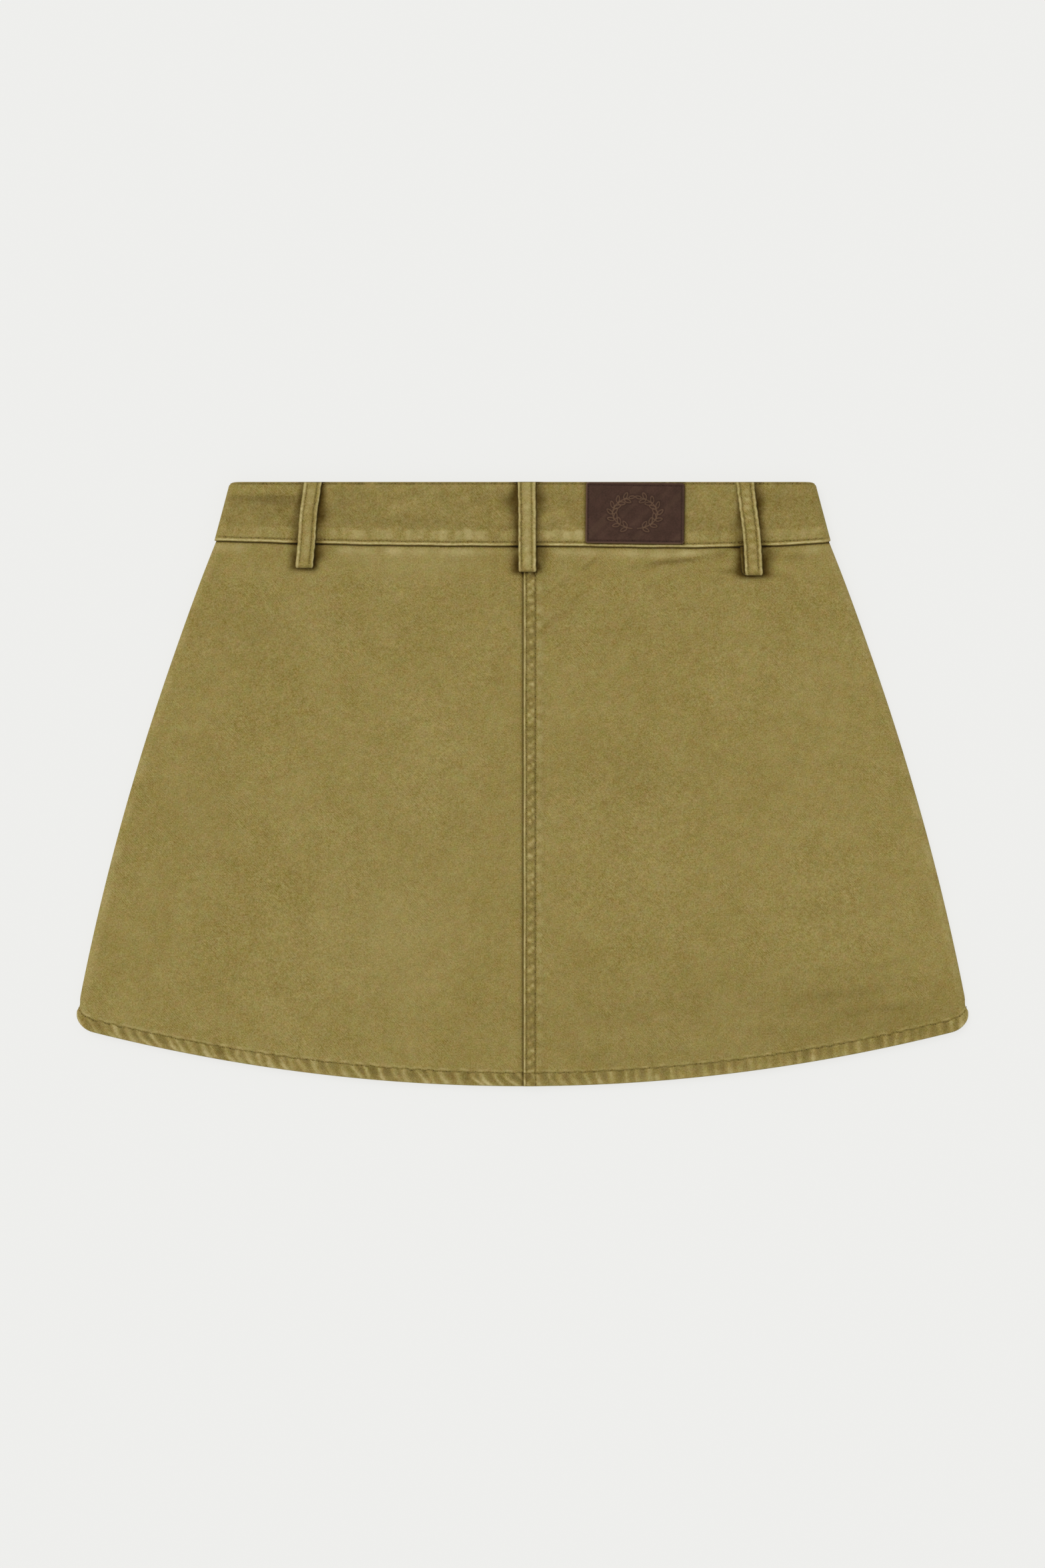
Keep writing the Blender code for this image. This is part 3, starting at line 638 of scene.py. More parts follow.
def back_panel(name, side):
    laps_over = side > 0
    near = spaced((LAP_EDGE, NEAR_REACH, 0.00045)) if laps_over else spaced(
        (SEAM_GAP - LAP_END, 0.0, 0.0014), (0.0, 0.0040, 0.0004), (0.0040, NEAR_REACH, 0.0014)
    )
    out_shares = np.linspace(0, 1, 165)[1:]
    below = BACK_ROWS[:, None]
    row = panel_row(below)
    reach = row["half"] - row["fold"]
    flat_x = np.hstack([np.tile(near, (len(BACK_ROWS), 1)), mix(NEAR_REACH, reach, out_shares)]) * side
    flat_depth = row_depth(row, abs(flat_x))
    flat_z = front_face(flat_x, flat_depth) + PANEL_STACK + (centre_lap(flat_x) if laps_over else 0.0)

    swing = FOLD_ANGLES[1:]
    fold_x = side * (reach + row["fold"] * np.cos(swing))
    fold_depth = row_depth(row, abs(fold_x))
    fold_z = front_face(side * reach, fold_depth) + PANEL_STACK / 2 * (1 + np.sin(swing))
    end_x = side * (reach - TURN_UNDER * np.array([0.5, 1.0]))
    end_depth = row_depth(row, abs(end_x))

    x = np.hstack([flat_x, fold_x, end_x])
    depth = np.hstack([flat_depth, fold_depth, end_depth])
    rise, painted_light_and_wear = back_surface(x, depth, below, laps_over)
    upper = np.hstack([np.ones(flat_x.shape[1]), np.sin(swing), -np.ones(2)])
    # Relief stands out from the cloth's face, so it turns over with the fold and dies out underneath.
    z = np.hstack([flat_z, fold_z, front_face(end_x, end_depth)]) + rise * np.clip(upper, 0, 1)
    mesh = grid_mesh(name, on_cloth(x, depth, z), painted_light_and_wear, turned=side < 0)
    panel = add_piece(name, mesh, twill)
    at_hem = np.broadcast_to(below >= SPAN - HEM_DEPTH, x.shape) & ~(laps_over & (x <= LAP_END))
    add_wall(panel, HEM_WALL, thin=CLOTH, thick_points=np.flatnonzero(at_hem))


# Each panel's cut: widest at the hem, with the turn-under, the lap and the doubled hem.
back_panel("back_left", -1)
back_panel("back_right", 1)


# ---- Front panels ----
# The same twill, face down on the table, from the fly's folded edge to the side seams under the back's
# folds. Only their hem and side edges can be seen, so they are plain.

FRONT_EDGE = 0.0040
FRONT_ROWS = spaced((-SEAM_ALLOWANCE, 0.0, 0.004), (0.0, SPAN - HEM_DEPTH, 0.006),
                    (SPAN - HEM_DEPTH, SPAN, 0.0012))


def front_panel(name, side):
    fly = FRONT_EDGE + (SEAM_GAP if side > 0 else 0.0)
    below = FRONT_ROWS[:, None]
    row = panel_row(below)
    seam = side * (row["half"] - row["fold"] - TURN_UNDER - SEAM_GAP)
    x = mix(fly, seam, np.linspace(0, 1, 60))
    depth = row_depth(row, abs(x))
    under_row = below - (SPAN - HEM_DEPTH)
    share = under_row / HEM_DEPTH
    held = smooth(share, 0.12) * (1 - smooth(share - 0.90, 0.10))
    # The stitched groove of the hem is painted dark as shade.
    painted_light_and_wear = held * (0.9 * ropes(-x, share) - 0.4) - 0.5 * hump(under_row, 0.0006)
    mesh = grid_mesh(name, on_cloth(x, depth, front_face(x, depth)), painted_light_and_wear, turned=side > 0)
    panel = add_piece(name, mesh, twill)
    at_hem = np.broadcast_to(below >= SPAN - HEM_DEPTH, x.shape)
    add_wall(panel, HEM_WALL, thin=CLOTH, thick_points=np.flatnonzero(at_hem))


front_panel("front_left", -1)
front_panel("front_right", 1)


# ---- Inner shorts ----
# Four plain panels of light cotton between the back and the front, as a skort has. None of them shows.

RISE = 0.2650
SHORTS_LENGTH = 0.3100
SHORTS_SIDE_LENGTH = 0.2950
SHORTS_HEM_HALF = 0.2300
LEG_INNER = 0.0150
SHORTS_WALL = 0.0010
SHORTS_CROTCH = RISE - BAND_CENTRE
SHORTS_END = SHORTS_LENGTH - BAND_CENTRE
SHORTS_GAP = (PANEL_STACK - 2 * CLOTH - 2 * SHORTS_WALL) / 3

lining = washed_twill("plain_cotton_lining", "#756930", "#a09465")


def shorts_panel(name, side, level):
    below = spaced((-SEAM_ALLOWANCE, 0.0, 0.004), (0.0, SHORTS_CROTCH, 0.008),
                   (SHORTS_CROTCH, SHORTS_END, 0.005))[:, None]
    edge = BAND_SIDE + below * (SHORTS_SIDE_LENGTH - BAND_SIDE) / SHORTS_END
    leg = np.clip((below - SHORTS_CROTCH) / (SHORTS_END - SHORTS_CROTCH), 0, 1)
    near = mix(SEAM_GAP / 2, LEG_INNER, leg)
    far = mix(SEAM_HALF - BAND_FOLD - SEAM_GAP, SHORTS_HEM_HALF, np.clip(below, 0, None) / SHORTS_END)
    far += np.minimum(below, 0.0) * (SEAM_HALF - WAIST_HALF) / BAND_SIDE
    x = side * mix(near, far, np.linspace(0, 1, 36))
    depth = BAND_CENTRE + below - (BAND_CENTRE + below - edge) * (abs(x) / far) ** 2
    z = front_face(x, depth) + level + SHORTS_WALL
    mesh = grid_mesh(name, on_cloth(x, depth, z), 0.0, turned=side < 0)
    panel = add_piece(name, mesh, lining)
    add_wall(panel, SHORTS_WALL)


for side_name, side in (("left", -1), ("right", 1)):
    shorts_panel(f"shorts_front_{side_name}", side, CLOTH + SHORTS_GAP)
    shorts_panel(f"shorts_back_{side_name}", side, CLOTH + 2 * SHORTS_GAP + SHORTS_WALL)


# ---- Waistband ----
# One folded strip of twill from the fly round the back, sewn down with its outer leaf over the panels'
# heads. Its lower edge is rolled like piping and rubbed pale, and a strip above it is washed through.

BAND_WALL = 0.0022
LEAF = 0.0010
BAND_CORNER = 0.0026
BAND_ROW = 0.0027  # the topstitching runs this far above the lower edge
TOP_ROW = 0.0008  # depth of the groove that a second row leaves along the top edge
# Soft upright pads in the strip above the lower edge: place, half width in mm and how pale each is.
FLUTES = (
    (-0.1760, 2.6, 0.40), (-0.1665, 2.4, 0.35), (-0.1565, 2.9, 0.50), (-0.1473, 1.4, 0.45),
    (-0.1189, 3.0, 0.55), (-0.1115, 2.0, 0.40), (-0.1030, 4.4, 0.75), (-0.0925, 2.6, 0.50),
    (-0.0845, 3.0, 0.42), (-0.0720, 2.2, 0.85), (-0.0636, 2.0, 0.80), (-0.0565, 1.8, 0.65),
    (-0.0498, 2.8, 0.95), (-0.0405, 2.3, 0.85), (-0.0340, 2.6, 0.90), (-0.0247, 4.2, 0.65),
    (-0.0120, 2.6, 0.45), (0.0163, 4.8, 0.60), (0.0276, 2.9, 1.00), (0.0352, 3.0, 0.90),
    (0.1065, 2.8, 0.60), (0.1130, 2.6, 0.55), (0.1212, 1.8, 0.45), (0.1272, 2.4, 0.55),
    (0.1540, 2.8, 0.35), (0.1620, 3.2, 0.35), (0.1700, 2.0, 0.45), (0.1766, 1.8, 0.80),
    (0.1825, 2.6, 0.60),
)
# Places on the band painted darker or lighter, as a table of soft spots. The dark ones low in the band near
# the centre and right loops are painted shadow.
BAND_TONE_AND_SHADE_SPOTS = (
    (0.085, 0.004, 0.030, 0.004, -0.05),
    (-0.074, 0.0155, 0.024, 0.0045, 0.09),
    (-0.072, 0.0250, 0.040, 0.0028, -0.12),
    (-0.108, 0.014, 0.012, 0.010, -0.06),
    (0.168, 0.0115, 0.014, 0.004, -0.10),
    (0.122, 0.012, 0.010, 0.006, 0.04),
    (0.1240, 0.0320, 0.0022, 0.0060, -0.22),
    (0.152, 0.030, 0.006, 0.008, -0.10),
    (0.024, 0.010, 0.009, 0.0045, -0.09),
    (-0.0270, 0.0235, 0.0110, 0.0040, 0.10),
    (-0.0220, 0.0120, 0.0070, 0.0050, -0.10),
    (-0.1160, 0.0180, 0.0060, 0.0070, -0.07),
    (0.0150, 0.0190, 0.0045, 0.0060, 0.14),
    (0.1120, 0.0260, 0.0080, 0.0030, -0.09),
    (-0.160, 0.0115, 0.024, 0.0036, -0.16),
    (-0.152, 0.0160, 0.010, 0.0060, -0.10),
    (0.0280, 0.0325, 0.011, 0.0030, 0.15),
    (-0.0310, 0.0330, 0.009, 0.0032, 0.08),
    (-0.0140, 0.0345, 0.006, 0.0040, -0.17),
    (0.1200, 0.0340, 0.004, 0.0035, -0.17),
)
# The leather patch's size, and the x and depth of its middle.
PATCH_SIZE = (0.0619, 0.0383)
PATCH_MIDDLE = (0.0706, 0.0198)


def band_half(depth):
    """Half width of the waistband, rounded off at its top corner."""
    corner = np.clip((BAND_CORNER - depth) / BAND_CORNER, 0.0, 1.0)
    return mix(WAIST_HALF, SEAM_HALF, depth / BAND_SIDE) - BAND_CORNER * (1 - np.sqrt(1 - corner**2))


def band_ring():
    """The waistband cut across: each point's share of its depth, the depth added, and how far inside."""
    top = BAND_WALL / 2
    turns = np.linspace(math.pi, 0, 9)
    ring = [(0.0, top - top * math.sin(a), top + top * math.cos(a)) for a in turns[::-1]]
    ring = [(share, down, BAND_WALL - inside) for share, down, inside in ring]
    ring += [(share, mix(top, 0.0, share), 0.0) for share in np.linspace(0.02, 0.88, 32)]
    ring += [(1.0, -down, 0.0) for down in np.arange(0.0042, 0.0005, -0.00036)]
    low = LEAF / 2
    turns = np.linspace(0, math.pi, 7)[1:-1]
    ring += [(1.0, -low + low * math.sin(a), low - low * math.cos(a)) for a in turns]
    ring += [(1.0, -low, LEAF), (1.0, -SEAM_ALLOWANCE - SEAM_GAP, LEAF)]
    ring += [(1.0, -SEAM_ALLOWANCE - SEAM_GAP, BAND_WALL)]
    ring += [(share, top * (1 - share), BAND_WALL) for share in (0.6, 0.3)]
    return np.array(ring)


def band_surface(x, depth, end):
    """How far the waistband's outer face stands out, and its wear. end is its lower edge's depth."""
    up = end - depth
    flutes = np.zeros_like(depth)
    for number, (place, wide, strong) in enumerate(FLUTES):
        off = (x - place - 0.14 * math.sin(7 * number) * (up - 0.006)) * 1000 / wide
        high = 0.0094 + 0.0014 * math.sin(5 * number)
        strong *= 1 - smooth(up - high, 0.0020)
        flutes = np.maximum(flutes, strong * np.exp(-np.abs(off) ** 3))
    upper = smooth(up - 0.0096 + 0.0005 * drift(x, 0.017, 47), 0.0013)
    strip = smooth(up - BAND_ROW - 0.0002, 0.0022) * (1 - upper)
    strip = strip * mix(0.55, 1.0, smooth(x + 0.124, 0.014)) * mix(1.0, 0.75, smooth(x - 0.105, 0.010))
    rise = 0.00030 * strip * (flutes - 0.3)
    painted_light_and_wear = strip * (0.02 + 0.06 * drift(x, 0.026, 48) + 0.31 * flutes)
    # Above that strip the doubled cloth took the dye darker, and is mottled in soft patches.
    patchy = drift(x + 0.6 * depth, 0.022, 49) * drift(depth - 0.15 * x, 0.017, 50)
    painted_light_and_wear -= upper * (0.13 - 0.045 * patchy - 0.05 * hump(depth - 0.003, 0.003))
    rise += 0.00008 * upper * patchy
    # The row of stitches above the lower edge lies in a groove that is painted dark as shade.
    wander = up - BAND_ROW - 0.00012 * drift(x, 0.013, 44)
    rise -= 0.00030 * hump(wander, 0.0006)
    painted_light_and_wear -= (0.34 + 0.20 * drift(x, 0.005, 41)) * hump(wander, 0.0005)
    # The piped edge: a narrow pale ridge, dimmed where the loops' painted shadow falls, and under it the
    # crevice painted dark as shade.
    beside = np.clip(1 - 0.85 * loop_painted_shadow(x, depth), 0, 1)
    rise += 0.00022 * hump(up - 0.0012, 0.0006)
    ridge = np.clip(0.92 + 0.16 * drift(x, 0.022, 42) + 0.14 * drift(x, 0.004, 45), 0, 1.1)
    ridge *= 1 - 0.40 * smooth(x + 0.022, 0.005) * smooth(0.018 - x, 0.005)
    painted_light_and_wear += ridge * beside * hump(up - 0.00116 - 0.0001 * drift(x, 0.008, 46), 0.00046)
    painted_light_and_wear -= 0.95 * hump(up, 0.00038)
    # The row along the top edge leaves a groove painted dark as shade too.
    rise -= 0.00012 * hump(depth - TOP_ROW, 0.0005)
    painted_light_and_wear -= (0.38 + 0.20 * drift(x, 0.006, 43)) * hump(depth - TOP_ROW, 0.00045)
    # Left of the left loop a fold inside was pressed through: paler above it, and below it a step down,
    # painted darker as its shade.
    left_end = smooth(-0.1385 - x, 0.005) * smooth(x + 0.188, 0.006)
    step = smooth(depth - 0.0084, 0.0008) * np.exp(-np.clip(depth - 0.0092, 0, None) / 0.0040)
    rise -= 0.00018 * left_end * step
    painted_light_and_wear -= (0.24 + 0.10 * drift(x, 0.0045, 51)) * step * left_end
    painted_light_and_wear += 0.08 * left_end * hump(depth - 0.0052, 0.0028)
    painted_light_and_wear += spots(x, depth, BAND_TONE_AND_SHADE_SPOTS)
    # The belt loops' painted shadow on the band.
    painted_light_and_wear -= 1.04 * loop_painted_shadow(x, depth)
    # A thin painted shadow runs beside the patch.
    off_x = abs(x - PATCH_MIDDLE[0]) - PATCH_SIZE[0] / 2
    off_depth = abs(depth - PATCH_MIDDLE[1]) - PATCH_SIZE[1] / 2
    painted_light_and_wear -= 0.60 * hump(np.clip(np.maximum(off_x, off_depth), 0, None), 0.0010)
    return rise, np.clip(painted_light_and_wear, -1.4, 1)


ring_share, ring_down, ring_inside = band_ring().T
outer_face = ring_inside < BAND_WALL / 2
LOW = BAND_PROP
HIGH = BAND_PROP + BAND_STACK
MIDDLE = BAND_PROP + BAND_STACK / 2


def band_section(place, on_back):
    """The waistband's ring of points at one place along it, with their wear."""
    x0 = place(ring_share, ring_inside)[0]
    # The outer face follows the edge as it lies, and the inner leaf ends where it was cut.
    end = np.where(ring_down < -SEAM_ALLOWANCE, seam_depth(x0), mix(seam_depth(x0), edge_depth(x0), on_back))
    depth = ring_share * end + ring_down
    x0 = place(depth / end, ring_inside)[0]
    rise, painted_light_and_wear = band_surface(x0, depth, end)
    rise = np.where(outer_face, rise * on_back, 0.0)
    painted_light_and_wear = np.where(outer_face, painted_light_and_wear * on_back, 0.0)
    x, z = place(depth / end, ring_inside - rise)
    return on_cloth(x, depth, z), painted_light_and_wear


def band_reach(share):
    return band_half(share * BAND_SIDE) - BAND_FOLD


def on_table(side, start, t):
    return lambda share, inside: (mix(start, side * band_reach(share), t), LOW + inside)


def on_fold(side, angle):
    return lambda share, inside: (
        side * (band_reach(share) + (BAND_FOLD - inside) * math.cos(angle)),
        MIDDLE + (BAND_STACK / 2 - inside) * math.sin(angle),
    )


def on_back(side, t):
    return lambda share, inside: (side * mix(NEAR_REACH, band_reach(share), t), HIGH - inside)


def on_lap(x):
    return lambda share, inside: (np.full_like(share, x), HIGH + band_lap(x) - inside)


places = [(on_table(-1, FRONT_EDGE, t), 0.0) for t in np.linspace(0, 1, 28)[:-1]]
places += [(on_fold(-1, a), max(math.sin(a), 0.0)) for a in FOLD_ANGLES[::-1]]
places += [(on_back(-1, t), 1.0) for t in np.linspace(1, 0, 150)[1:-1]]
places += [(on_lap(x), 1.0) for x in np.linspace(-NEAR_REACH, NEAR_REACH, 31)]
places += [(on_back(1, t), 1.0) for t in np.linspace(0, 1, 150)[1:-1]]
places += [(on_fold(1, a), max(math.sin(a), 0.0)) for a in FOLD_ANGLES]
places += [(on_table(1, FRONT_EDGE + SEAM_GAP, t), 0.0) for t in np.linspace(1, 0, 28)[1:]]
sections = [band_section(place, shown) for place, shown in places]
band_points = np.stack([points for points, _ in sections])
band_painted_light_and_tone = np.stack([painted_light_and_wear for _, painted_light_and_wear in sections])
waistband = add_piece("waistband", grid_mesh("waistband", band_points, band_painted_light_and_tone, ring=True), twill)


# ---- Underlap ----
# The waistband's inner end behind the fly, a plain doubled strip that carries the button.

TAB_ENDS = (-0.0300, 0.0220)
TAB_MARGIN = 0.0015
TAB_WALL = 0.0016
tab_x = np.linspace(*TAB_ENDS, 22)
tab_depth = mix(TAB_MARGIN, seam_depth(tab_x) - SEAM_ALLOWANCE - TAB_MARGIN, np.linspace(0, 1, 14)[:, None])
tab_points = on_cloth(tab_x, tab_depth, BAND_PROP + BAND_WALL + SEAM_GAP + TAB_WALL)
tab = add_piece("button_tab", grid_mesh("button_tab", tab_points, 0.0), twill)
add_wall(tab, TAB_WALL)


# ---- Belt loops ----
# Five strips of twill folded to 11 mm, edge-stitched down both sides, caught in the waistband's top edge
# and turned up at the lower end. Their folded edges are rubbed almost white, and the grooves of their
# stitches inside are painted dark as shade.

LOOP_WALL = 0.0013
LOOP_TOP = 0.0004
LOOP_EASE = 0.0010
LOOP_EASED = 0.0070
# The left, centre and right loop as the wash left them, with their painted shade: how dark each row's
# groove is painted as shade, how much paler the middle is, for the crest along each folded edge its place,
# inner and outer half width in mm, and the spacing, half length and strength of the pale blotches between
# the rows.
LOOP_WEAR_AND_SHADE = (
    {"grooves": (0.26, 0.46), "middle": 0.01, "crests": ((4.6, 1.1, 0.55), (5.0, 0.46, 0.42)),
     "blotches": (0.0075, 0.0030, 0.32)},
    {"grooves": (0.50, 0.24), "middle": 0.17, "crests": ((4.9, 0.55, 0.50), (4.8, 1.1, 0.46)),
     "blotches": (0.0080, 0.0028, 0.30)},
    {"grooves": (0.42, 0.44), "middle": -0.10, "crests": ((4.7, 0.60, 0.60), (4.8, 0.80, 0.46)),
     "blotches": (0.0060, 0.0018, 0.62)},
)
FRONT_LOOPS = [
    {"place": place, "top_x": side * 0.0985, "end_x": side * 0.1010, "end": 0.0550, "slip": 0.0,
     "bow": (0.0, 0.020, 0.010), "rows": (-0.0033, 0.0033)}
    for place, side in (("left", -1), ("right", 1))
]


def loop_path(end, seam):
    """A loop's middle line: rows of depth, height over the panel's face, and the way out in radians."""
    outer = STEP + LOOP_EASE + LOOP_WALL / 2
    under = SEAM_GAP + LOOP_WALL / 2
    turn = (outer - under) / 2
    foot = end - turn - LOOP_WALL / 2
    rows = []
    for share in np.linspace(0, 1, 11):
        ease = mix(SEAM_GAP, LOOP_EASE, math.sin(share * math.pi / 2))
        rows.append((mix(LOOP_TOP, LOOP_EASED, share), STEP + ease + LOOP_WALL / 2, math.pi / 2))
    rows += [(mix(LOOP_EASED, foot, share), outer, math.pi / 2) for share in np.linspace(0, 1, 64)[1:-1]]
    for angle in np.linspace(math.pi / 2, -math.pi / 2, 15):
        rows.append((foot + turn * math.cos(angle), under + turn + turn * math.sin(angle), angle))
    rows += [(mix(foot, seam + SEAM_GAP, share), under, -math.pi / 2) for share in (0.25, 0.5, 0.75, 1.0)]
    return rows


def loop_ring():
    """The loop cut across: distance from the middle and from the middle of its thickness."""
    flat = (LOOP_WIDTH - LOOP_WALL) / 2
    half = LOOP_WALL / 2
    ring = [(across, half) for across in np.linspace(-flat, flat, 33)]
    turns = np.linspace(math.pi / 2, -math.pi / 2, 9)[1:-1]
    ring += [(flat + half * math.cos(a), half * math.sin(a)) for a in turns]
    ring += [(across, -half) for across in np.linspace(flat, -flat, 9)]
    ring += [(-flat - half * math.cos(a), half * math.sin(a)) for a in turns[::-1]]
    return np.array(ring)


def loop_frame(loop, up, depth):
    """The x and the panel-face height that a loop follows at a depth."""
    middle = mix(loop["top_x"], loop["end_x"], 0.7)
    x = loop_middle(loop, depth)
    if up > 0:
        return x, float(front_face(middle, depth) + PANEL_STACK + band_lap(middle))
    return x, float(front_face(middle, depth))


def loop_surface(across, depth, loop, worn, seed):
    """Height of the outer leaf's relief and its wear: rubbed edges, stitched grooves painted dark as shade, a
    blotched middle.
    """
    rng = np.random.default_rng(seed)
    blotch = 0.0
    spacing, half_long, pale = worn["blotches"]
    for place in np.cumsum(rng.uniform(0.8, 1.2, 12) * spacing):
        size = rng.uniform(0.65, 1.1) * half_long
        strong = rng.uniform(0.45, 1.0)
        aside = rng.uniform(-0.0006, 0.0006)
        blotch += strong * hump(depth - place, size) * hump(across - aside, 0.0020)
    near_end = smooth(depth - loop["end"] + 0.0042, 0.0016)
    rise = 0.00012 * hump(across, 0.0026) + 0.00010 * blotch
    painted_light_and_wear = worn["middle"] * hump(across, 0.0024) + pale * blotch
    for side, row, groove, crest in zip((-1, 1), loop["rows"], worn["grooves"], worn["crests"]):
        out = side * across * 1000 - crest[0] + 0.10 * drift(depth, 0.010, seed + 3 + side)
        crest = hump(np.where(out < 0, out / crest[1], out / crest[2]))
        rubbed = 0.58 + 0.16 * drift(depth, 0.016, seed + 6 + side)
        rubbed += 0.14 * drift(depth, 0.0045, seed + 9 + side)
        rise += 0.00020 * crest
        painted_light_and_wear += rubbed * crest
        # Each row lies in a groove that is painted dark as shade.
        off_row = across - row - 0.00012 * drift(depth, 0.009, seed + 12 + side)
        sewn = (1 + 0.35 * drift(depth, 0.0052, seed + 15 + side)) * (1 - 0.8 * near_end)
        rise -= 0.00030 * hump(off_row, 0.0005) * (1 - near_end)
        painted_light_and_wear -= groove * sewn * hump(off_row, 0.00062)
    # The turned-up end has kept its dye between its rubbed corners.
    corner = smooth(abs(across) - 0.0030, 0.0018)
    painted_light_and_wear += (0.30 * corner - 0.27) * hump(depth - loop["end"] + 0.0010, 0.0011)
    return rise, painted_light_and_wear


def belt_loop(layer, up, loop, worn, seed):
    ring = loop_ring()
    across, thick = ring.T
    outer = thick >= LOOP_WALL / 2 - 1e-6
    middle = mix(loop["top_x"], loop["end_x"], 0.7)
    path = loop_path(loop["end"], float(edge_depth(middle) if up > 0 else seam_depth(middle)))
    points = []
    wears = []
    for step, (depth, height, angle) in enumerate(path):
        x, base = loop_frame(loop, up, depth)
        # The leaf underneath has slipped to one side, and the turned-up end is drawn in at its corners.
        x += loop["slip"] * float(smooth(step - len(path) + 12, 9))
        rise, painted_light_and_wear = loop_surface(across, depth, loop, worn, seed)
        shown = float(smooth(math.sin(angle) + 0.2, 0.9))
        # A loop of the front lies face down and flat against the table.
        out = thick + np.where(outer & (up > 0), rise * shown, 0.0)
        widen = 1 + 0.035 * math.exp(-depth / 0.003) - 0.055 * max(math.cos(angle), 0.0) ** 2
        waver = [0.00008 * float(drift(depth, 0.0085, seed + 20 + side)) for side in (0, 1)]
        wavered = np.where(across > 0, waver[0], waver[1]) * smooth(abs(across), 0.0052)
        z = base + up * height + up * math.sin(angle) * out
        y = LENGTH / 2 - depth - math.cos(angle) * out
        points.append(np.stack([x + across * widen + wavered, y, z], axis=-1))
        # The leaf underneath is painted dark as the loop's shadow, apart from its folded edges.
        edge = hump(abs(across) - 0.0050, 0.0006)
        upper = painted_light_and_wear * shown + 0.55 * edge * (1 - shown)
        wears.append(np.where(outer | (thick > 0), upper, 0.3 * edge - 1.16))
    name = f"belt_loop_{layer}_{loop['place']}"
    mesh = grid_mesh(name, np.stack(points), np.clip(np.stack(wears), -1.4, 1), turned=up < 0, ring=True)
    piece = add_piece(name, mesh, twill)


for number, loop in enumerate(BACK_LOOPS):
    belt_loop("back", 1, loop, LOOP_WEAR_AND_SHADE[number], 60 + 10 * number)
for number, loop in enumerate(FRONT_LOOPS):
    belt_loop("front", -1, loop, LOOP_WEAR_AND_SHADE[2], 100 + 10 * number)


# ---- Leather patch ----
# A rectangle of dark brown leather, 62 by 38 mm, sewn on beside the centre loop. It is dry and mottled,
# pale along its cut edges, and pressed with a plain leafy wreath.

PATCH_WALL = 0.0014
PATCH_TILT = math.radians(-0.7)
PATCH_CORNER = 0.0016
PATCH_LOW = HIGH + SEAM_GAP
PATCH_ROW = 0.0017  # the stitches run this far inside its edges
LINE = 0.00033  # half width of the wreath's lines


def off_line(x, y, line):
    """Distance of points from a line through given points."""
    nearest = np.full(x.shape, 1.0)
    for (x0, y0), (x1, y1) in zip(line, line[1:]):
        run = (x1 - x0) ** 2 + (y1 - y0) ** 2
        along = np.clip(((x - x0) * (x1 - x0) + (y - y0) * (y1 - y0)) / run, 0, 1)
        nearest = np.minimum(nearest, np.hypot(x - mix(x0, x1, along), y - mix(y0, y1, along)))
    return nearest


def wreath():
    """Lines of the pressed wreath, in metres from the patch's middle: two bowed stems with paired leaves."""
    def stem(side, t):
        angle = mix(-0.46 * math.pi, 0.40 * math.pi, t)
        return side * 0.0140 * math.cos(angle), 0.0098 * math.sin(angle)

    def leaf(root, heading, long):
        outline = []
        for turn in np.linspace(0, 2 * math.pi, 19):
            reach = 0.0006 + long * (1 - math.cos(turn)) / 2
            wide = 0.30 * long * math.sin(turn) * (1 - 0.35 * reach / long)
            outline.append((root[0] + reach * math.cos(heading) - wide * math.sin(heading),
                            root[1] + reach * math.sin(heading) + wide * math.cos(heading)))
        return outline

    lines = []
    for side in (-1, 1):
        lines.append([stem(side, t) for t in np.linspace(0, 1, 24)])
        for t in np.linspace(0.08, 0.92, 7):
            (x0, y0), (x1, y1) = stem(side, t), stem(side, t + 0.01)
            heading = math.atan2(y1 - y0, x1 - x0)
            for lean in (-42, 42):
                lines.append(leaf((x0, y0), heading + math.radians(lean), 0.0042))
        lines.append(leaf(stem(side, 1.0), math.radians(90 + side * 76), 0.0036))
    return lines


def patch_leather():
    """Vegetable-tanned leather, dyed dark brown: a fine pebbled grain, half matt, paler where rubbed, and
    painted dark as shade in its grooves.
    """
    material, tree = empty_material("dark_brown_leather")
    place = add(tree, "ShaderNodeTexCoord").outputs["Object"]
    cloud = add(tree, "ShaderNodeTexNoise", Vector=place, Scale=1 / 0.007, Detail=4.0, Roughness=0.65)
    fleck = add(tree, "ShaderNodeTexNoise", Vector=place, Scale=1 / 0.0011, Detail=3.0, Roughness=0.7)
    both = add(tree, "ShaderNodeMath", ADDED, Value=cloud, Value_001=fleck)
    share = add(tree, "ShaderNodeMapRange", Value=both, From_Min=0.72, From_Max=1.30)
    dyed = add(tree, "ShaderNodeMix", COLOURS, Factor_Float=share, A_Color=linear("#38251a"),
               B_Color=linear("#4b3328"))
    worn = add(tree, "ShaderNodeAttribute", {"attribute_name": "painted_light_and_wear"}).outputs["Fac"]
    colour = worn_and_shaded_colour(tree, dyed, ((worn, 0.0, 1.0, 0.9, "#84694f"), (worn, 0.0, -1.0, 0.85, "#23150e")))
    grain = add(tree, "ShaderNodeTexVoronoi", Vector=place, Scale=1 / 0.0008)
    height = add(tree, "ShaderNodeMath", ADDED, Value=grain, Value_001=fleck)
    bump = add(tree, "ShaderNodeBump", Strength=0.5, Distance=0.00008, Height=height)
    hide = add(tree, "ShaderNodeBsdfPrincipled", Base_Color=colour, Normal=bump, Roughness=0.62,
               Specular_IOR_Level=0.14)
    add(tree, "ShaderNodeOutputMaterial", Surface=hide)
    return material


def across_patch(half):
    """Places from edge to edge of the patch, closer together near the edges."""
    inner = half - 0.0012
    return spaced((-half, -inner, 0.00015), (-inner, inner, 0.00030), (inner, half, 0.00015))


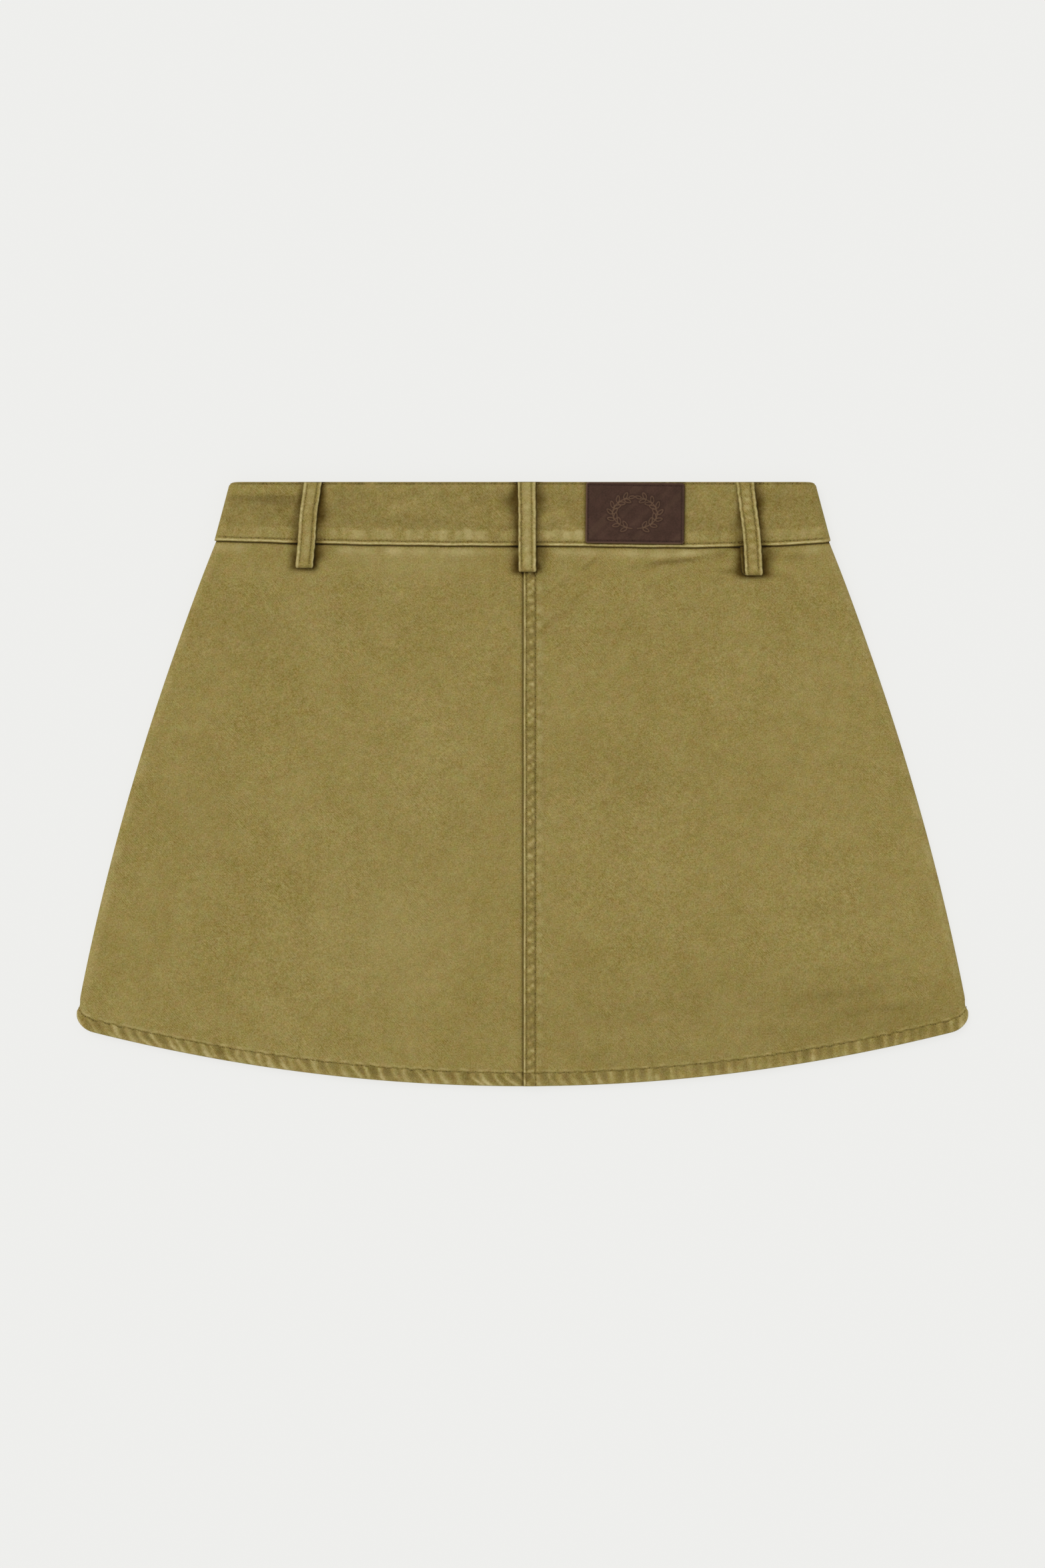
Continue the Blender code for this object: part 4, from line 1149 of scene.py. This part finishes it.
def on_patch(x, y, z):
    """Points of the patch, which was sewn on a little askew."""
    across = x * math.cos(PATCH_TILT) - y * math.sin(PATCH_TILT)
    up = x * math.sin(PATCH_TILT) + y * math.cos(PATCH_TILT)
    return on_cloth(PATCH_MIDDLE[0] + across, PATCH_MIDDLE[1] - up, z)


half_x = PATCH_SIZE[0] / 2
half_y = PATCH_SIZE[1] / 2
patch_x, patch_y = np.meshgrid(across_patch(half_x), -across_patch(half_y))
# Points past a corner's arc are drawn in to it.
corner_x = np.clip(abs(patch_x) - half_x + PATCH_CORNER, 0, None)
corner_y = np.clip(abs(patch_y) - half_y + PATCH_CORNER, 0, None)
square = np.maximum(corner_x, corner_y)
drawn_in = 1 - square / np.maximum(np.hypot(corner_x, corner_y), 1e-9)
patch_x = np.sign(patch_x) * (abs(patch_x) - corner_x * drawn_in)
patch_y = np.sign(patch_y) * (abs(patch_y) - corner_y * drawn_in)
patch_in = PATCH_CORNER - square
seam_row = hump(np.minimum(half_x - abs(patch_x), half_y - abs(patch_y)) - PATCH_ROW, 0.0005)
# The wreath's lines stand up pale, and the narrow grooves beside them are painted dark as shadow.
away = np.full(patch_x.shape, 1.0)
for line in wreath():
    away = np.minimum(away, off_line(patch_x, patch_y, line))
pressed = hump(away, LINE)
beside = hump(away - 0.0008, 0.0004)
rim = np.clip(1 - patch_in / 0.0007, 0, 1)
rise = -0.00045 * (1 - np.sqrt(1 - rim**2)) - 0.00016 * seam_row + 0.00030 * pressed - 0.00008 * beside
rise += 0.00005 * drift(patch_x + 0.4 * patch_y, 0.012, 51) * drift(patch_y, 0.010, 52)
# The cut edge is paler on the left and along the bottom.
rubbed_edge = np.where(patch_x < -half_x + 0.002, 0.42, 0.08)
rubbed_edge = np.maximum(rubbed_edge, np.where(patch_y < -half_y + 0.002, 0.40, 0.0))
# The groove of the stitch row is painted dark as shade.
patch_painted_light_and_tone = rubbed_edge * hump(patch_in - 0.0003, 0.0004) - 0.26 * seam_row + 0.42 * pressed
patch_painted_light_and_tone -= 0.30 * beside
patch_painted_light_and_tone += 0.08 * np.clip(drift(patch_x - patch_y, 0.018, 53), 0, 1)
patch_points = on_patch(patch_x, patch_y, PATCH_LOW + PATCH_WALL + rise)
patch = add_piece("patch", grid_mesh("patch", patch_points, patch_painted_light_and_tone), patch_leather())
add_wall(patch, PATCH_WALL - 0.0002)


# ---- Button ----
# A tack button of antique brass, face down on the table under the fly, with a rolled rim and a dished face.

BUTTON_MIDDLE = (-0.0080, 0.0195)
BUTTON_PROFILE = (  # radius and height in mm, from the back to the middle of the face
    (0.0, 1.9), (6.6, 2.0), (7.1, 1.9), (7.6, 1.6), (7.8, 1.1), (7.75, 0.6), (7.45, 0.15),
    (7.0, 0.0), (6.4, 0.05), (5.8, 0.3), (5.2, 0.55), (3.0, 0.5), (0.0, 0.45),
)
button_bm = bmesh.new()
chain = [button_bm.verts.new((radius / 1000, 0, z / 1000)) for radius, z in BUTTON_PROFILE]
links = [button_bm.edges.new(pair) for pair in zip(chain, chain[1:])]
bmesh.ops.spin(button_bm, geom=chain + links, axis=(0, 0, 1), cent=(0, 0, 0), steps=48, angle=2 * math.pi)
bmesh.ops.remove_doubles(button_bm, verts=button_bm.verts, dist=1e-5)
bmesh.ops.recalc_face_normals(button_bm, faces=button_bm.faces)
bmesh.ops.translate(button_bm, verts=button_bm.verts,
                    vec=(BUTTON_MIDDLE[0], LENGTH / 2 - BUTTON_MIDDLE[1], 0))
button_mesh = bpy.data.meshes.new("button")
button_bm.to_mesh(button_mesh)
button_bm.free()
button_mesh.shade_smooth()
# Antique brass: yellow metal with brown left in its dull parts.
brass, tree = empty_material("antique_brass")
place = add(tree, "ShaderNodeTexCoord").outputs["Object"]
tarnish = add(tree, "ShaderNodeTexNoise", Vector=place, Scale=1 / 0.0022, Detail=4.0)
yellow = add(tree, "ShaderNodeMix", COLOURS, Factor_Float=tarnish, A_Color=linear("#5a4222"),
             B_Color=linear("#a8854a"))
dull = add(tree, "ShaderNodeMapRange", Value=tarnish, To_Min=0.55, To_Max=0.30)
metal = add(tree, "ShaderNodeBsdfPrincipled", Base_Color=yellow, Roughness=dull, Metallic=1.0)
add(tree, "ShaderNodeOutputMaterial", Surface=metal)
add_piece("button", button_mesh, brass)


# ---- Stitches ----
# Cotton-wrapped thread dyed with the garment, 2.2 to 2.7 mm to a stitch, and brown thread on the patch.
# Each stitch sinks into its groove, and at its end a flat dark pit stands for the needle hole as painted
# shade, which is what shows from a distance.

PITCH = 0.0027
ON_TOP = 0.00004  # a stitch lies this much above its groove


def plain_material(name, colour, roughness):
    """Dyed thread, or the painted shade of a needle hole: matt, with a fine uneven tone."""
    material, tree = empty_material(name)
    place = add(tree, "ShaderNodeTexCoord").outputs["Object"]
    fibre = add(tree, "ShaderNodeTexNoise", Vector=place, Scale=1 / 0.0014, Detail=3.0)
    uneven = add(tree, "ShaderNodeMapRange", Value=fibre, From_Min=0.3, From_Max=0.7, To_Min=0.8, To_Max=1.2)
    shade = add(tree, "ShaderNodeVectorMath", {"operation": "SCALE"}, Vector=linear(colour)[:3], Scale=uneven)
    bump = add(tree, "ShaderNodeBump", Strength=0.4, Distance=0.00005, Height=fibre)
    matt = add(tree, "ShaderNodeBsdfPrincipled", Base_Color=shade, Normal=bump, Roughness=roughness,
               Specular_IOR_Level=0.2)
    add(tree, "ShaderNodeOutputMaterial", Surface=matt)
    return material


def stitch_nodes(name, thread, hole):
    """Nodes that set a stitch and a needle hole's painted shade at every pitch along lines that lie on the
    cloth.
    """
    tree = bpy.data.node_groups.new(name, "GeometryNodeTree")
    face = tree.interface
    face.new_socket("Geometry", in_out="INPUT", socket_type="NodeSocketGeometry")
    for label, value in (("Pitch", PITCH), ("Length", 0.0020), ("Thickness", 0.00045), ("Hole", 0.00080)):
        face.new_socket(label, in_out="INPUT", socket_type="NodeSocketFloat").default_value = value
    face.new_socket("Seed", in_out="INPUT", socket_type="NodeSocketInt").default_value = 1
    face.new_socket("Geometry", in_out="OUTPUT", socket_type="NodeSocketGeometry")
    given = add(tree, "NodeGroupInput").outputs
    curve = add(tree, "GeometryNodeMeshToCurve", Mesh=given["Geometry"])
    dots = add(tree, "GeometryNodeCurveToPoints", {"mode": "LENGTH"}, Curve=curve, Length=given["Pitch"])
    ahead = dots.outputs["Tangent"]
    ball = add(tree, "GeometryNodeMeshUVSphere", Segments=8, Rings=6, Radius=0.5)

    # The stitches: a strand along the line, swung a little at random.
    aligned = add(tree, "FunctionNodeAlignRotationToVector", {"axis": "X", "pivot_axis": "Z"}, Vector=ahead)
    wobble = add(tree, "FunctionNodeRandomValue", {"data_type": "FLOAT"}, Min_001=-0.16, Max_001=0.16,
                 Seed=given["Seed"])
    swing = add(tree, "ShaderNodeCombineXYZ", Z=wobble)
    turn = add(tree, "FunctionNodeEulerToRotation", Euler=swing)
    turned = add(tree, "FunctionNodeRotateRotation", {"rotation_space": "LOCAL"}, Rotation=aligned,
                 Rotate_By=turn)
    size = add(tree, "ShaderNodeCombineXYZ", X=given["Length"], Y=given["Thickness"], Z=given["Thickness"])
    strand = add(tree, "GeometryNodeTransform", Geometry=ball, Scale=size)
    sewn = add(tree, "GeometryNodeInstanceOnPoints", Points=dots, Instance=strand, Rotation=turned)
    thread_set = add(tree, "GeometryNodeSetMaterial", Geometry=sewn, Material=thread)

    # The needle holes: flat dark pits of painted shade between the stitches, strayed and sized at random.
    half_pitch = add(tree, "ShaderNodeMath", TIMES, Value=given["Pitch"], Value_001=0.5)
    between = add(tree, "ShaderNodeVectorMath", {"operation": "SCALE"}, Vector=ahead, Scale=half_pitch)
    stray = add(tree, "FunctionNodeRandomValue", {"data_type": "FLOAT_VECTOR"},
                Min=(-0.00022, -0.00022, 0.0), Max=(0.00022, 0.00022, 0.0), Seed=given["Seed"])
    set_off = add(tree, "ShaderNodeVectorMath", ADDED, Vector=between, Vector_001=stray)
    moved = add(tree, "GeometryNodeSetPosition", Geometry=dots, Offset=set_off)
    flat = add(tree, "ShaderNodeMath", TIMES, Value=given["Hole"], Value_001=0.45)
    hole_size = add(tree, "ShaderNodeCombineXYZ", X=given["Hole"], Y=given["Hole"], Z=flat)
    pit = add(tree, "GeometryNodeTransform", Geometry=ball, Scale=hole_size)
    grow = add(tree, "FunctionNodeRandomValue", {"data_type": "FLOAT"}, Min_001=0.45, Max_001=1.15,
               Seed=given["Seed"])
    pits = add(tree, "GeometryNodeInstanceOnPoints", Points=moved, Instance=pit, Scale=grow)
    hole_shade_set = add(tree, "GeometryNodeSetMaterial", Geometry=pits, Material=hole)

    both = add(tree, "GeometryNodeJoinGeometry", Geometry=thread_set)
    tree.links.new(hole_shade_set.outputs["Geometry"], both.inputs["Geometry"])
    real = add(tree, "GeometryNodeRealizeInstances", Geometry=both)
    soft = add(tree, "GeometryNodeSetShadeSmooth", Geometry=real)
    result = add(tree, "NodeGroupOutput")
    tree.links.new(soft.outputs["Geometry"], result.inputs["Geometry"])
    return tree


def sew(name, rows, nodes, sizes):
    """Sew along rows of points that lie on the cloth, and keep the stitches as one plain mesh."""
    edges = []
    start = 0
    for row in rows:
        edges += [(start + i, start + i + 1) for i in range(len(row) - 1)]
        start += len(row)
    mesh = bpy.data.meshes.new(name + "_line")
    mesh.from_pydata(np.concatenate(rows).tolist(), edges, [])
    piece = in_scene(name, mesh)
    sewing = piece.modifiers.new("sewing", "NODES")
    sewing.node_group = nodes
    for socket in nodes.interface.items_tree:
        if socket.in_out == "INPUT" and socket.name in sizes:
            sewing[socket.identifier] = sizes[socket.name]
    depsgraph = bpy.context.evaluated_depsgraph_get()
    made = bpy.data.meshes.new_from_object(piece.evaluated_get(depsgraph), depsgraph=depsgraph)
    made.name = name
    piece.modifiers.remove(sewing)
    piece.data = made
    bpy.data.meshes.remove(mesh)
    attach(piece, "root")


thread = plain_material("garment_dyed_thread", "#7d6e36", 0.85)
needle_hole = plain_material("needle_hole", "#4b3d17", 1.0)
brown_thread = plain_material("dark_brown_thread", "#3d291e", 0.8)
brown_hole_shade = plain_material("leather_needle_hole", "#281812", 1.0)
cloth_stitches = stitch_nodes("cloth_stitches", thread, needle_hole)
leather_stitches = stitch_nodes("leather_stitches", brown_thread, brown_hole_shade)

# The hem, across both panels and over their side folds.
hem_below = SPAN - HEM_DEPTH
hem_row = panel_row(np.array(hem_below))
hem_fold = float(hem_row["fold"])
hem_reach = float(hem_row["half"]) - hem_fold
hem_turn = np.radians(np.linspace(10, 80, 12))
hem_x = np.concatenate([-hem_reach - hem_fold * np.cos(hem_turn), np.linspace(-hem_reach, hem_reach, 420),
                        hem_reach + hem_fold * np.cos(hem_turn[::-1])])
hem_up = np.concatenate([np.sin(hem_turn), np.ones(420), np.sin(hem_turn[::-1])])
hem_depth = row_depth(hem_row, abs(hem_x)) + hem_waver(hem_x)
rise_left, rise_right = [back_surface(hem_x, hem_depth, hem_below, laps)[0] for laps in (False, True)]
laid_over = np.where(hem_x > LAP_EDGE, centre_lap(hem_x) + rise_right * hem_up, rise_left * hem_up)
hem_z = front_face(hem_x, hem_depth) + PANEL_STACK / 2 * (1 + hem_up) + laid_over
sew("stitches_hem", [on_cloth(hem_x, hem_depth, hem_z + ON_TOP)], cloth_stitches,
    {"Seed": 3, "Hole": 0.00060})

# Two rows down the centre seam, from under the centre belt loop to the hem's edge.
centre_below = np.linspace(0.012, SPAN - 0.0028, 400)
centre_lines = []
for x in (FIRST_ROW, SECOND_ROW):
    depth = row_depth(panel_row(centre_below), x)
    rise = back_surface(np.full_like(depth, x), depth, centre_below, True)[0]
    centre_lines.append(on_cloth(x, depth, front_face(x, depth) + PANEL_STACK + BACK_LAP + rise + ON_TOP))
sew("stitches_centre_seam", centre_lines, cloth_stitches, {"Seed": 5, "Hole": 0.00062})

# One row above the waistband's lower edge and one along its top edge.
band_x = np.linspace(-(SEAM_HALF - BAND_FOLD), SEAM_HALF - BAND_FOLD, 420)
low_depth = edge_depth(band_x) - BAND_ROW
low_rise = band_surface(band_x, low_depth, edge_depth(band_x))[0]
low_line = on_cloth(band_x * 0.999, low_depth, HIGH + band_lap(band_x) + low_rise + ON_TOP)
top_x = np.linspace(-(WAIST_HALF - BAND_FOLD), WAIST_HALF - BAND_FOLD, 400)
top_line = on_cloth(top_x, TOP_ROW + 0.0003, HIGH + band_lap(top_x) - 0.00012)
sew("stitches_waistband", [low_line, top_line], cloth_stitches,
    {"Seed": 7, "Pitch": 0.0023, "Length": 0.0016, "Hole": 0.00066, "Thickness": 0.0004})

# Two rows down each belt loop of the back.
loop_lines = []
for number, loop in enumerate(BACK_LOOPS):
    for across in loop["rows"]:
        line = []
        for at in np.linspace(0.0022, loop["end"] - 0.0036, 60):
            x, base = loop_frame(loop, 1, at)
            bow = mix(SEAM_GAP, LOOP_EASE, math.sin(min(at / LOOP_EASED, 1.0) * math.pi / 2))
            rise = loop_surface(np.array([across]), at, loop, LOOP_WEAR_AND_SHADE[number], 60 + 10 * number)[0][0]
            line.append((x + across, LENGTH / 2 - at, base + STEP + bow + LOOP_WALL + rise + ON_TOP / 2))
        loop_lines.append(np.array(line))
sew("stitches_belt_loops", loop_lines, cloth_stitches,
    {"Seed": 9, "Pitch": 0.0022, "Length": 0.0015, "Hole": 0.00056, "Thickness": 0.0004})

# Once round the patch, inside its edges.
around = []
corners = ((-1, 1), (1, 1), (1, -1), (-1, -1), (-1, 1))
for (x0, y0), (x1, y1) in zip(corners, corners[1:]):
    t = np.linspace(0, 1, 60)
    across = mix(x0, x1, t) * (half_x - PATCH_ROW)
    up = mix(y0, y1, t) * (half_y - PATCH_ROW)
    around.append(on_patch(across, up, PATCH_LOW + PATCH_WALL - 0.00014))
sew("stitches_patch", around, leather_stitches,
    {"Seed": 11, "Pitch": 0.0026, "Length": 0.0019, "Hole": 0.00062, "Thickness": 0.00042})


# ---- Table, light and camera ----
# A plain pale table that is lit softly from below, as product tables are, so that hardly a shadow falls
# on it. A wide soft light from the upper left, even light all round, and a camera straight above.

table_mesh = bpy.data.meshes.new("table")
table_mesh.from_pydata([(-4, -4, 0), (4, -4, 0), (4, 4, 0), (-4, 4, 0)], [], [(0, 1, 2, 3)])
table = in_scene("table", table_mesh)
table.location = (0, 0, -0.0002)
glass, tree = empty_material("lit_opal_glass")
opal = add(tree, "ShaderNodeBsdfPrincipled", Base_Color=(0.120, 0.120, 0.118, 1), Roughness=1.0,
           Specular_IOR_Level=0.0, Emission_Color=(1.0, 1.0, 0.980, 1), Emission_Strength=0.742)
add(tree, "ShaderNodeOutputMaterial", Surface=opal)
table_mesh.materials.append(glass)

world = bpy.data.worlds.new("even_light")
world.use_nodes = True
background = world.node_tree.nodes["Background"].inputs
background["Color"].default_value = (1.0, 1.0, 1.0, 1)
background["Strength"].default_value = 0.60
bpy.context.scene.world = world

lamp = bpy.data.lights.new("wide_soft_light", "SUN")
lamp.energy = 1.36
lamp.angle = math.radians(42)
in_scene("wide_soft_light", lamp).rotation_euler = (math.radians(-23), math.radians(-21), 0)

PIXEL = 0.4185e-3  # one pixel of the 1568 x 2353 frame on the garment
LENS = 100
SENSOR = 36
camera_data = bpy.data.cameras.new("camera")
camera_data.lens = LENS
camera_data.sensor_width = SENSOR
camera = in_scene("camera", camera_data)
camera.location = (0, 0.0002, HIGH + 2353 * PIXEL * LENS / SENSOR)
bpy.context.scene.camera = camera
bpy.context.scene.view_settings.view_transform = "Standard"
